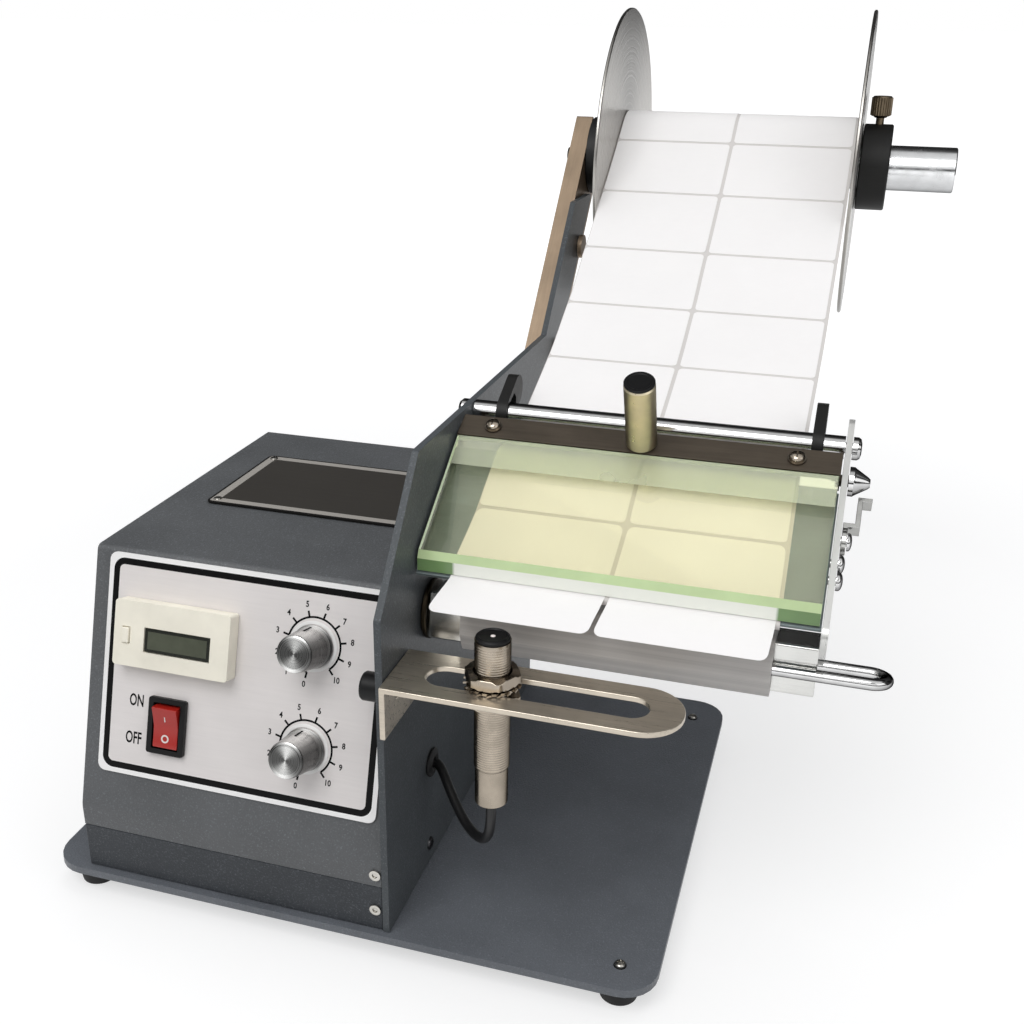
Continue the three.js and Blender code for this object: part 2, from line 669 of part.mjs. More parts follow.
// Hold-down: a bar on two pivot pins that presses a clear slab on the labels
const slab = {
  left: 1, right: 133.2, lift: 1, thickness: 5.2, back: 55.3, chamfer: 1.6, tailBack: 64, tailInset: 2.4,
  tailThickness: 2.4,
};
const barInset = 0.5;
const bar = {
  front: 55.7, underside: 3.8, depth: 10.4, thickness: 2.4, droop: -8 * radians, left: barInset,
  right: endPlateInside - barInset, earRadius: 3.6, earThickness: 1.5, screwX: [12.7, 119], screwAlong: 5.2,
  screwHead: 3.6, screwHeadHeight: 2.4, screwRadius: 1.4,
};
const lifter = { x: 66.5, along: 4.6, radius: 5.4, height: 28, foot: 4, footHeight: 0.5, edge: 0.4, bore: 1.6 };
const capNut = { radius: 5, length: 7, tip: 1.4 };

function buildHoldDown() {
  const s = slab;
  const b = bar;
  const [pivotAlong, pivotUp] = inStage(pivotY, pivotZ);
  const top = s.lift + s.thickness;
  const lean = Math.tan(stageTilt);
  const main = across(outline([
    [s.lift * lean, s.lift, 0], [s.back, s.lift, 0], [s.back, top, 0],
    [top * lean + s.chamfer, top, 0], [(top - s.chamfer) * lean, top - s.chamfer, 0],
  ]), s.left, s.right);
  const tail = across(block(s.back - overrun, s.tailBack, s.lift, s.tailThickness),
    s.left + s.tailInset, s.right - s.tailInset);
  const screwHoles = b.screwX.map((x) => {
    const hole = post(b.screwRadius + gap, -overrun * 3, overrun, x, b.screwAlong);
    return hole.rotateX(b.droop).translate(0, b.front, b.underside);
  });
  add(stageFrame, 'cover_glass', finishes.glass(), cut(join(main, tail), ...screwHoles));

  const barFrame = new THREE.Group();
  barFrame.position.set(0, b.front, b.underside);
  barFrame.rotation.x = b.droop;
  stageFrame.add(barFrame);
  const inBar = (y, z) => {
    const [dy, dz] = [y - b.front, z - b.underside];
    return [dy * Math.cos(b.droop) + dz * Math.sin(b.droop), dz * Math.cos(b.droop) - dy * Math.sin(b.droop)];
  };
  const [earY, earZ] = inBar(pivotAlong, pivotUp);
  const strip = across(block(0, b.depth, 0, b.thickness), b.left, b.right);
  const ear = (from) => join(
    pin(b.earRadius, from, from + b.earThickness, earY, earZ, medium),
    across(block(earY - b.earRadius, earY + b.earRadius, earZ, b.thickness / 2), from,
      from + b.earThickness));
  const pinLeft = plateBody - 2 * overrun;
  const pinRight = endPlateOutside + capNut.length / 2;
  add(barFrame, 'hold_down_bar', finishes.warmSteel(), cut(
    join(strip, ear(b.left), ear(b.right - b.earThickness),
      pin(pivotRadius, pinLeft, b.left + b.earThickness, earY, earZ),
      pin(pivotRadius, b.right - b.earThickness, pinRight, earY, earZ)),
    ...b.screwX.map((x) => post(b.screwRadius + gap, -overrun, b.thickness + overrun, x, b.screwAlong)),
    post(lifter.bore + gap, -overrun, b.thickness + overrun, lifter.x, lifter.along)));

  const screwFoot = s.lift - b.underside;
  const seat = b.thickness + gap;
  ['left', 'right'].forEach((side, i) => {
    const screw = add(barFrame, `bar_screw_${side}`, finishes.nickel(), closed(spin([
      [0, screwFoot], [b.screwRadius, screwFoot], [b.screwRadius, seat], [b.screwHead, seat],
      [b.screwHead, seat + b.screwHeadHeight / 2], [b.screwHead / 2, seat + b.screwHeadHeight],
      [0, seat + b.screwHeadHeight],
    ], coarse)));
    screw.position.set(b.screwX[i], b.screwAlong, 0);
  });
  const crown = seat + lifter.height;
  const knob = add(barFrame, 'lift_post', finishes.nickel(), closed(spin([
    [0, -gap], [lifter.bore, -gap], [lifter.bore, seat], [lifter.foot, seat],
    [lifter.foot, seat + lifter.footHeight], [lifter.radius, seat + 2 * lifter.footHeight],
    [lifter.radius, crown - lifter.edge], [lifter.radius - lifter.edge, crown], [0, crown],
  ])));
  knob.position.set(lifter.x, lifter.along, 0);

  const nutSeat = endPlateOutside + gap;
  add(stageFrame, 'pivot_cap_nut', finishes.chrome(), closed(spinAcross([
    [pivotRadius + gap, nutSeat], [capNut.radius, nutSeat], [capNut.radius, nutSeat + capNut.length / 4],
    [capNut.tip, nutSeat + capNut.length], [0, nutSeat + capNut.length], [0, pinRight + gap],
    [pivotRadius + gap, pinRight + gap], [pivotRadius + gap, nutSeat],
  ], pivotAlong, pivotUp)));
}

// Guide rod with its two end screws, and the two web guides that slide on it
const rodHead = { radius: 4, thickness: 3 };
const guide = { radius: 5.6, length: 14, thickness: 4, clearance: 2.4, tilt: 27 * radians };

function buildGuides() {
  const headLeft = plateBody - gap;
  const headRight = endPlateOutside + gap;
  add(machine, 'guide_rod', finishes.chrome(), closed(spinAcross([
    [0, headLeft - rodHead.thickness], [rodHead.radius * 0.75, headLeft - rodHead.thickness],
    [rodHead.radius, headLeft - rodHead.thickness / 2], [rodHead.radius, headLeft],
    [rodScrewRadius, headLeft], [rodScrewRadius, gap], [rodRadius, gap],
    [rodRadius, endPlateInside - gap], [rodScrewRadius, endPlateInside - gap],
    [rodScrewRadius, headRight], [rodHead.radius, headRight],
    [rodHead.radius, headRight + rodHead.thickness / 2],
    [rodHead.radius * 0.75, headRight + rodHead.thickness], [0, headRight + rodHead.thickness],
  ], rodY, rodZ)));
  const shape = join(
    pin(guide.radius, 0, guide.thickness, 0, 0, medium),
    pin(guide.radius, 0, guide.thickness, guide.length - guide.radius, 0, medium),
    across(block(0, guide.length - guide.radius, -guide.radius, guide.radius), 0, guide.thickness));
  const paddle = cut(shape, pin(rodRadius + gap, -overrun, guide.thickness + overrun, 0, 0, medium));
  const places = { left: webLeft - guide.clearance - guide.thickness, right: webRight + guide.clearance };
  for (const [side, x] of Object.entries(places)) {
    const paddleMesh = add(machine, `edge_guide_${side}`, finishes.blackPlastic(), paddle.clone());
    paddleMesh.position.set(x, rodY, rodZ);
    paddleMesh.rotation.x = guide.tilt;
  }
}

// Label web: one long thin strip from the roll, under the rod, over the stage and round its edge to
// the take-up winding, with two peeled labels that stand out past the edge
const noseRadius = 0.9;
const labelReach = 17.5;
const labelDroop = 17 * radians;
const labelGap = 2.6;
const noseWrap = 150 * radians;
const linerEndTurn = 12 * radians;
const linerWrap = 1.2;
const wrapCorner = 1.6;
const clip = { wire: 2, left: 20, innerLeft: 66, bendX: 150.6 };
const clipReach = takeUpSide / 2 + gap + clip.wire;

// Offsets an open path of points to one side, mitring its corners.
function offsetPath(points, distance) {
  return points.map((point, i) => {
    const before = i > 0 ? point.clone().sub(points[i - 1]).normalize() : null;
    const after = i < points.length - 1 ? points[i + 1].clone().sub(point).normalize() : null;
    const normals = [before, after].filter(Boolean).map((d) => new THREE.Vector2(-d.y, d.x));
    const mean = normals[0].clone().add(normals[normals.length - 1]).normalize();
    return point.clone().addScaledVector(mean, distance / mean.dot(normals[0]));
  });
}

function ribbon(points, thickness, from, to) {
  const upper = offsetPath(points, thickness);
  return across(new THREE.Shape([...points, ...upper.reverse()]), from, to);
}

function buildWeb() {
  const rod = new THREE.Vector2(rodY, rodZ);
  const reel = new THREE.Vector2(reelY, reelZ);
  const rollGap = rollRadius + gap + webThickness;
  const rodGap = rodRadius + gap;
  const between = reel.clone().sub(rod);
  const slope = between.angle() + Math.asin((rollGap + rodGap) / between.length());
  const onRoll = slope + webSlackTurn;
  const onRod = slope - webSlackTurn;
  const upright = (angle) => new THREE.Vector2(-Math.sin(angle), Math.cos(angle));
  const along = (angle) => new THREE.Vector2(Math.cos(angle), Math.sin(angle));
  const start = reel.clone().addScaledVector(upright(onRoll), rollGap);
  const end = rod.clone().addScaledVector(upright(onRod), -rodGap);
  const reach = end.clone().sub(start).cross(along(onRod)) / along(onRoll).cross(along(onRod));
  const hang = new THREE.QuadraticBezierCurve(start, start.clone().addScaledVector(along(onRoll), reach), end);
  const hangSteps = 8;
  const path = hang.getPoints(hangSteps).slice(0, -1);
  const stageEnd = new THREE.Vector2(...outOfStage(stageLength, gap + webThickness));
  const leave = Math.atan2(rod.y - rodGap - stageEnd.y, rod.x - stageEnd.x);
  const bendSteps = 5;
  for (let k = 0; k <= bendSteps; k += 1) {
    const angle = onRod + ((leave - onRod) * k) / bendSteps;
    path.push(rod.clone().addScaledVector(upright(angle), -rodGap));
  }
  path.push(stageEnd);
  const noseTurn = noseRadius + gap + webThickness;
  path.push(new THREE.Vector2(...outOfStage(0, gap + webThickness)));
  const noseSteps = 6;
  for (let k = 1; k <= noseSteps; k += 1) {
    const angle = turn / 4 + stageTilt + (noseWrap * k) / noseSteps;
    path.push(new THREE.Vector2(...outOfStage(0, -noseRadius)).addScaledVector(along(angle), noseTurn));
  }
  const sweep = Math.hypot(clipReach + clip.wire, clip.wire + gap) + linerWrap + 3 * gap;
  path.push(new THREE.Vector2(takeUpY, takeUpZ)
    .add(new THREE.Vector2(0, sweep + webThickness).rotateAround(new THREE.Vector2(), linerEndTurn)));
  const strip = ribbon(path, webThickness, webLeft, webRight);

  const hold = new THREE.Vector2(...outOfStage(overrun, gap + webThickness / 2));
  const edge = new THREE.Vector2(...outOfStage(0, gap + webThickness / 2));
  const label = (share) => new THREE.Vector2(
    edge.x - labelReach * share * Math.cos(labelDroop),
    edge.y - labelReach * share * Math.sin(labelDroop) + labelReach * 0.08 * Math.sin(share * Math.PI));
  const labelPath = [hold, edge, label(0.25), label(0.5), label(0.75), label(1)];
  const labelWidth = (webWidth - labelGap) / 2;
  const labels = [webLeft, webRight - labelWidth].map((x) =>
    ribbon(labelPath, webThickness, x, x + labelWidth));
  add(machine, 'label_web', finishes.paper(), join(strip, ...labels));
}

// Take-up: a square bar turned by the motor, the liner wound on it and the hairpin clip that grips it
function buildTakeUp() {
  const frame = new THREE.Group();
  frame.position.set(0, takeUpY, takeUpZ);
  frame.rotation.x = -takeUpTilt;
  machine.add(frame);
  const half = takeUpSide / 2;
  const barLeft = bushing.flangeThickness + 2 * gap + gap;
  const square = across(block(-half, half, -half, half, takeUpCorner), barLeft, endPlateInside);
  const journal = pin(bushing.journal, gearLeft - overrun, barLeft + overrun, 0, 0, medium);
  const bore = pin(clip.wire + gap, clip.innerLeft - overrun, endPlateInside + overrun, 0, 0, coarse);
  add(frame, 'take_up_shaft', finishes.chrome(), cut(join(square, journal), bore));

  const winding = (grow) => outline([
    [half + grow, -half - grow, wrapCorner], [half + grow, half + grow, wrapCorner],
    [-half - grow, half + grow, wrapCorner],
    [-clipReach - clip.wire - grow, clip.wire + grow, wrapCorner],
    [-clipReach - clip.wire - grow, -clip.wire - grow, wrapCorner],
    [-half - grow, -half - grow, wrapCorner],
  ], 3);
  add(frame, 'liner_winding', finishes.liner(), cut(
    across(winding(gap + linerWrap), webLeft, webRight),
    across(winding(gap), webLeft - overrun, webRight + overrun)));

  const bendRadius = clipReach / 2;
  const innerStart = new THREE.Vector3(clip.innerLeft, 0, 0);
  const innerEnd = new THREE.Vector3(clip.bendX, 0, 0);
  const outerEnd = new THREE.Vector3(clip.bendX, -clipReach, 0);
  const outerStart = new THREE.Vector3(clip.left, -clipReach, 0);
  const bend = [];
  const bendSteps = 10;
  for (let k = 0; k <= bendSteps; k += 1) {
    const angle = (turn / 2) * (k / bendSteps);
    bend.push(new THREE.Vector3(clip.bendX + bendRadius * Math.sin(angle),
      -bendRadius + bendRadius * Math.cos(angle), 0));
  }
  const points = [innerStart, innerEnd, ...bend.slice(1, -1), outerEnd, outerStart];
  add(frame, 'hairpin_clip', finishes.chrome(), wire(points, clip.wire, 12));
}

// A round wire along points that turn only gently from one to the next.
function wire(points, radius, sides) {
  const rings = points.map((point, i) => {
    const before = points[Math.max(i - 1, 0)];
    const after = points[Math.min(i + 1, points.length - 1)];
    const ahead = after.clone().sub(before).normalize();
    const level = new THREE.Vector3(0, 0, 1);
    const side = ahead.clone().cross(level).normalize();
    const up = side.clone().cross(ahead).normalize();
    return Array.from({ length: sides }, (_, k) => {
      const angle = (turn * k) / sides;
      return point.clone()
        .addScaledVector(side, radius * Math.cos(angle))
        .addScaledVector(up, radius * Math.sin(angle));
    });
  });
  return loft(rings);
}

// Skins a row of rings that all have as many points, and closes both ends.
function loft(rings) {
  const sides = rings[0].length;
  const corners = rings.flat().flatMap((point) => point.toArray());
  const order = [];
  for (let i = 0; i < rings.length - 1; i += 1) {
    for (let k = 0; k < sides; k += 1) {
      const next = (k + 1) % sides;
      const [a, b] = [i * sides + k, i * sides + next];
      const [c, d] = [a + sides, b + sides];
      order.push(a, b, c, b, d, c);
    }
  }
  const last = (rings.length - 1) * sides;
  for (let k = 1; k < sides - 1; k += 1) {
    order.push(0, k + 1, k, last, last + k, last + k + 1);
  }
  const geometry = new THREE.BufferGeometry();
  geometry.setAttribute('position', new THREE.Float32BufferAttribute(corners, 3));
  geometry.setIndex(order);
  return closed(geometry);
}

// Drive inside the box: gear motor, pinion, gear and the bush in the side plate
const gearModule = 1;
const gearTeeth = 22;
const pinionTeeth = 10;
const gearLeft = -15;
const gearRight = -7;
const backlash = 0.12;
const pinionDirection = -43 * radians;
const gearbox = { radius: 24, length: 22, motorRadius: 17, motorLength: 44, face: 3, shaft: 2, leg: 3 };
const centreDistance = (gearModule * (gearTeeth + pinionTeeth)) / 2 + gap / 2;
const pinionY = takeUpY + centreDistance * Math.cos(pinionDirection);
const pinionZ = takeUpZ + centreDistance * Math.sin(pinionDirection);

// A toothed outline whose first tooth, or first space, points along the given angle.
function toothed(teeth, phase) {
  const pitch = (gearModule * teeth) / 2;
  const tip = pitch + gearModule * 0.9;
  const root = pitch - gearModule * 1.15;
  const step = turn / teeth;
  const slackShare = backlash / (2 * gearModule);
  const widthShares = { root: 0.3, pitch: (1 - slackShare) / 4, tip: 0.12 };
  const points = [];
  const put = (radius, angle) =>
    points.push(new THREE.Vector2(radius * Math.cos(angle), radius * Math.sin(angle)));
  for (let i = 0; i < teeth; i += 1) {
    const middle = phase + i * step;
    put(root, middle - widthShares.root * step);
    put(pitch, middle - widthShares.pitch * step);
    put(tip, middle - widthShares.tip * step);
    put(tip, middle + widthShares.tip * step);
    put(pitch, middle + widthShares.pitch * step);
    put(root, middle + widthShares.root * step);
  }
  return new THREE.Shape(points);
}

function buildDrive() {
  const b = bushing;
  add(machine, 'shaft_bushing', finishes.brass(), closed(spinAcross([
    [b.journal + gap, plateBody - b.inside], [b.radius, plateBody - b.inside], [b.radius, gap],
    [b.flange, gap], [b.flange, gap + b.flangeThickness], [b.journal + gap, gap + b.flangeThickness],
    [b.journal + gap, plateBody - b.inside],
  ], takeUpY, takeUpZ)));

  const gearFrame = new THREE.Group();
  gearFrame.position.set(0, takeUpY, takeUpZ);
  machine.add(gearFrame);
  add(gearFrame, 'drive_gear', finishes.brass(), cut(
    across(toothed(gearTeeth, pinionDirection), gearLeft, gearRight),
    pin(b.journal + gap, gearLeft - overrun, gearRight + overrun, 0, 0, medium)));
  const pinionFrame = new THREE.Group();
  pinionFrame.position.set(0, pinionY, pinionZ);
  machine.add(pinionFrame);
  const spaceAhead = pinionDirection + turn / 2 + turn / pinionTeeth / 2;
  add(pinionFrame, 'motor_pinion', finishes.steel(), cut(
    across(toothed(pinionTeeth, spaceAhead), gearLeft, gearRight),
    pin(gearbox.shaft + gap, gearLeft - overrun, gearRight + overrun)));

  const g = gearbox;
  const face = gearLeft - g.face;
  const middleY = pinionY + g.radius / 2;
  const middleZ = pinionZ - g.radius / 2;
  const legs = [[-1, -1], [1, 1]].map(([y, z]) => pin(g.leg, face - overrun, plateBody - gap,
    middleY + y * g.radius * 0.6, middleZ + z * g.radius * 0.6));
  add(machine, 'gear_motor', finishes.steel(), join(
    pin(g.radius, face - g.length, face, middleY, middleZ, medium),
    pin(g.motorRadius, face - g.length - g.motorLength, face - g.length + overrun, middleY, middleZ,
      medium),
    pin(g.shaft, face - overrun, gearRight, pinionY, pinionZ), ...legs));
}

// Sensor on its slotted bracket, and the cable that goes back into the box
const sensor = {
  x: 34.5, radius: 6, bottom: 58.5, top: 121.5, plainRadius: 5.2, plainTop: 70, capHeight: 6,
  nutFlats: 17, nutHeight: 4, washerRadius: 9.6, washerHeight: 1.2,
};
const sensorY = bracket.front + bracket.depth / 2;
const cable = { radius: 1.8, sides: 8 };
const cablePoints = [
  [34.5, 12, 58.2], [34.5, 12.1, 53], [34.1, 12.8, 47.5], [32.9, 14.6, 42], [30.6, 17.6, 37.4],
  [27.2, 21.6, 34.2], [23, 26, 33], [18.6, 30.4, 33.8], [14.2, 35, 36.2], [10.4, 39, 39.2],
  [7.4, 42.4, 41.7], [4.9, 45.4, 43.3], [2.8, 47.1, 43.95], [1.2, 47.3, 44], [-0.4, 47.3, 44],
];

function buildSensor() {
  const k = bracket;
  const back = k.front + k.depth;
  const armFoot = k.top - k.thickness;
  const arm = raise(outline([[gap, k.front, 0], [k.reach, k.front, k.depth / 2 - gap],
    [k.reach, back, k.depth / 2 - gap], [gap, back, 0]], 10), armFoot, k.top);
  const flange = across(block(k.front, back, k.flangeFoot, k.top, 0), gap, gap + k.thickness);
  const slot = raise(outline([
    [k.slotLeft, sensorY - k.slotWidth / 2, k.slotWidth / 2 - gap / 2],
    [k.slotRight, sensorY - k.slotWidth / 2, k.slotWidth / 2 - gap / 2],
    [k.slotRight, sensorY + k.slotWidth / 2, k.slotWidth / 2 - gap / 2],
    [k.slotLeft, sensorY + k.slotWidth / 2, k.slotWidth / 2 - gap / 2],
  ], 8), armFoot - overrun, k.top + overrun);
  const knobHole = pin(k.knobStud + gap, -overrun, k.thickness + gap + overrun, k.knobY, k.knobZ);
  add(machine, 'sensor_bracket', finishes.warmSteel(), cut(join(arm, flange), slot, knobHole));

  const knobRight = plateBody - gap;
  const studEnd = gap + k.thickness;
  add(machine, 'bracket_knob', finishes.blackPlastic(), closed(spinAcross([
    [0, knobRight - k.knobThickness], [k.knobRadius - k.knobEdge, knobRight - k.knobThickness],
    [k.knobRadius, knobRight - k.knobThickness + k.knobEdge], [k.knobRadius, knobRight],
    [k.knobStud, knobRight], [k.knobStud, studEnd], [0, studEnd],
  ], k.knobY, k.knobZ, medium)));

  const s = sensor;
  const place = (mesh) => mesh.position.set(s.x, sensorY, 0);
  place(add(machine, 'sensor_body', finishes.nickel(), closed(spin([
    [0, s.bottom], [s.plainRadius, s.bottom], [s.plainRadius, s.plainTop], [s.radius, s.plainTop],
    [s.radius, s.top - s.capHeight], [0, s.top - s.capHeight],
  ]))));
  place(add(machine, 'sensor_cap', finishes.blackPlastic(), closed(spin([
    [0, s.top - s.capHeight + gap], [s.radius, s.top - s.capHeight + gap], [s.radius, s.top - gap],
    [s.radius - gap, s.top], [0, s.top],
  ]))));
  const nut = (from, to, washer) => {
    const hole = post(s.radius + gap, from - overrun, to + overrun, 0, 0, medium);
    const body = raise(hexagon(s.nutFlats), from, to);
    const ring = washer ? post(s.washerRadius, from, from + s.washerHeight, 0, 0, medium) : null;
    return cut(ring ? join(body, ring) : body, hole);
  };
  const upperSeat = k.top + gap;
  const lowerSeat = armFoot - gap;
  place(add(machine, 'sensor_nut_upper', finishes.nickel(),
    nut(upperSeat, upperSeat + s.nutHeight + s.washerHeight, true)));
  place(add(machine, 'sensor_nut_lower', finishes.nickel(), nut(lowerSeat - s.nutHeight, lowerSeat, false)));

  const h = cableHole;
  const lip = 1.6;
  add(machine, 'cable_grommet', finishes.rubber(), closed(spinAcross([
    [cable.radius + gap, plateBody - gap], [h.radius, plateBody - gap], [h.radius, gap],
    [h.radius + lip, gap], [h.radius + lip, gap + lip / 2], [cable.radius + lip, gap + lip],
    [cable.radius + gap, gap + lip / 2], [cable.radius + gap, plateBody - gap],
  ], h.y, h.z)));

  const route = new THREE.CatmullRomCurve3(cablePoints.map((point) => new THREE.Vector3(...point)),
    false, 'centripetal');
  const section = disc(cable.radius, 0, 0, cable.sides);
  add(machine, 'sensor_cable', finishes.rubber(), closed(new THREE.ExtrudeGeometry(section,
    { steps: 24, bevelEnabled: false, extrudePath: route })));
}

// Control board on its four stand-offs, and the mains inlet in the back of the box
const board = {
  left: -112, right: -52, front: 92, back: 152, height: 9, thickness: 1.6, standoff: 2.6, inset: 5,
  relay: 15, relayHeight: 14, capacitorRadius: 7, capacitorHeight: 18,
};
const inlet = { flangeWidth: 31, flangeHeight: 24, flangeThickness: 2.5, depth: 18, wall: 2, pinWidth: 2,
  pinLength: 10 };

function buildInside() {
  const b = board;
  const floor = gap + sheet + gap;
  const plateFoot = floor + b.height;
  const topFace = plateFoot + b.thickness;
  const corners = [
    [b.left + b.inset, b.front + b.inset], [b.right - b.inset, b.front + b.inset],
    [b.left + b.inset, b.back - b.inset], [b.right - b.inset, b.back - b.inset],
  ];
  const legs = corners.map(([x, y]) => post(b.standoff, floor, plateFoot + b.thickness / 2, x, y));
  const middleX = (b.left + b.right) / 2;
  const middleY = (b.front + b.back) / 2;
  add(machine, 'control_board', finishes.board(), join(
    raise(block(b.left, b.right, b.front, b.back), plateFoot, topFace), ...legs,
    raise(block(middleX, middleX + b.relay, middleY, middleY + b.relay), topFace - gap,
      topFace + b.relayHeight),
    post(b.capacitorRadius, topFace - gap, topFace + b.capacitorHeight, middleX - b.relay, middleY, medium)));

  const n = inlet;
  const seat = boxBack + gap;
  const flange = new THREE.BoxGeometry(n.flangeWidth, n.flangeThickness, n.flangeHeight)
    .translate(inletX, seat + n.flangeThickness / 2, inletZ);
  const body = new THREE.BoxGeometry(inletWidth, n.depth, inletHeight)
    .translate(inletX, seat + gap - n.depth / 2 + n.wall / 2, inletZ);
  const mouth = new THREE.BoxGeometry(inletWidth - 2 * n.wall, n.depth, inletHeight - 2 * n.wall)
    .translate(inletX, seat + n.flangeThickness + n.wall - n.depth / 2, inletZ);
  const pinsX = [-inletWidth / 4, 0, inletWidth / 4];
  const socketFloor = seat + n.flangeThickness + n.wall - n.depth;
  const pins = pinsX.map((x, i) => new THREE.BoxGeometry(n.pinWidth, n.pinLength, 2 * n.pinWidth)
    .translate(inletX + x, socketFloor + n.pinLength / 2 - gap,
      inletZ + (i === 1 ? n.pinWidth : -n.pinWidth)));
  add(machine, 'power_inlet', finishes.blackPlastic(), join(cut(join(flange, body), mouth), ...pins));
}

buildBase();
buildBox();
buildPanel();
buildCounter();
buildSwitch();
buildDials();
buildTopPlate();
buildSidePlate();
buildReelArm();
buildReel();
buildStage();
buildEndPlate();
buildLever();
buildHoldDown();
buildGuides();
buildWeb();
buildTakeUp();
buildDrive();
buildSensor();
buildInside();
machine.add(panelFrame);

// The footprint's middle becomes the origin, at the height of the feet's soles.
const dialFront = panelTopY
  - (dial.speedFromTop + dial.frontRadius - dial.edge) * Math.sin(panelTilt)
  - (panelFace + gap + dial.length) * Math.cos(panelTilt);
machine.position.set(
  -(baseLeft + tubeEnd) / 2,
  -(dialFront + reelY + discRadius) / 2,
  -footBottom);
const part = new THREE.Group();
part.add(machine);

export default part;
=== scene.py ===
"""Looks of a bench-top label dispenser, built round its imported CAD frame.

Pieces are modelled in millimetres in the machine's own frame: X to the right from the open face
of the side plate, Y back from the front edge of the base, and Z up from the top of the base.
"""

from __future__ import annotations

import json
import logging
import math
from collections.abc import Callable, Sequence
from dataclasses import dataclass, field
from enum import Enum

import bmesh
import bpy
from mathutils import Matrix, Vector

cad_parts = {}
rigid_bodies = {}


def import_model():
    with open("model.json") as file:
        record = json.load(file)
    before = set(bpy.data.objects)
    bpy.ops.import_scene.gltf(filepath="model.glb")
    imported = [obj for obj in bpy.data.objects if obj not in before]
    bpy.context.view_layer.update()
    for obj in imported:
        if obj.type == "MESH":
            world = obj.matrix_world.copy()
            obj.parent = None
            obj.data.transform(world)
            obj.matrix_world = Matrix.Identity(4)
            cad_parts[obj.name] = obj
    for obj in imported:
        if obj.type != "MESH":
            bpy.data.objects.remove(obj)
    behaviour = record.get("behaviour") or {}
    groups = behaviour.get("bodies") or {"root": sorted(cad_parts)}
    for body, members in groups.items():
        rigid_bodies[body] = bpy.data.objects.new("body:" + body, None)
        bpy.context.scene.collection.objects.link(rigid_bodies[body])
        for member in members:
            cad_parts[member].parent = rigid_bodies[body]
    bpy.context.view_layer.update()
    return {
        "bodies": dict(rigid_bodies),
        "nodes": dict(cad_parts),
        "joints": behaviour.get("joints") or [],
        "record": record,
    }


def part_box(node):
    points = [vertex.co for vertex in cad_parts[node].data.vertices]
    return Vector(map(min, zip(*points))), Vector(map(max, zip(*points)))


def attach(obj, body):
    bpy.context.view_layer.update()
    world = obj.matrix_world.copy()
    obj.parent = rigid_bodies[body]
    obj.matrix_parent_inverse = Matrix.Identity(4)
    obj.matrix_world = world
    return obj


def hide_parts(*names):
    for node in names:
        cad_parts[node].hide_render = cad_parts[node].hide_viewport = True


log = logging.getLogger("label_dispenser")

MM = 0.001
TURN = math.tau
IMAGE = 1024
SENSOR_WIDTH = 36.0
GAP = 0.3

# Places in the machine's Y and Z, and of the bar's seat in the stage's
PANEL_TOP = (32.58383, 122.4)
STAGE_EDGE = (33.8, 128.6)
TAKE_UP_AXIS = (48.5, 108.5)
ROD_AXIS = (100.5, 166.2)
REEL_AXIS = (297.6, 238.4)
BAR_SEAT = (55.7, 3.8)

PANEL_TILT = math.radians(17.44)
PANEL_TURN = TURN / 4 - PANEL_TILT
STAGE_TILT = math.radians(33.1)
BAR_TILT = math.radians(-8)
TAKE_UP_TURN = math.radians(-9)
ALONG_X = Matrix.Rotation(TURN / 4, 4, "Y")

VECTOR = "NodeSocketVector"
NUMBER = "NodeSocketFloat"

Point = Sequence[float]
Place = tuple[float, float, float]
Pair = tuple[float, float]
Color = tuple[int, int, int]
Profile = Sequence[Pair]
Socket = bpy.types.NodeSocket


def srgb(red: int, green: int, blue: int) -> tuple[float, float, float, float]:
    """Turns a colour of 0 to 255 into the linear colour that a socket takes.

    Args:
        red: Red, 0 to 255.
        green: Green, 0 to 255.
        blue: Blue, 0 to 255.

    Returns:
        Linear red, green, blue and a full alpha.
    """
    def linear(channel: float) -> float:
        """Undoes the display curve of one channel."""
        return channel / 12.92 if channel <= 0.04045 else ((channel + 0.055) / 1.055) ** 2.4
    return (*(linear(c / 255) for c in (red, green, blue)), 1.0)


def grey(level: float) -> tuple[float, float, float, float]:
    """Gives a grey of a linear level as a shader's colour."""
    return (level, level, level, 1.0)


# Node trees


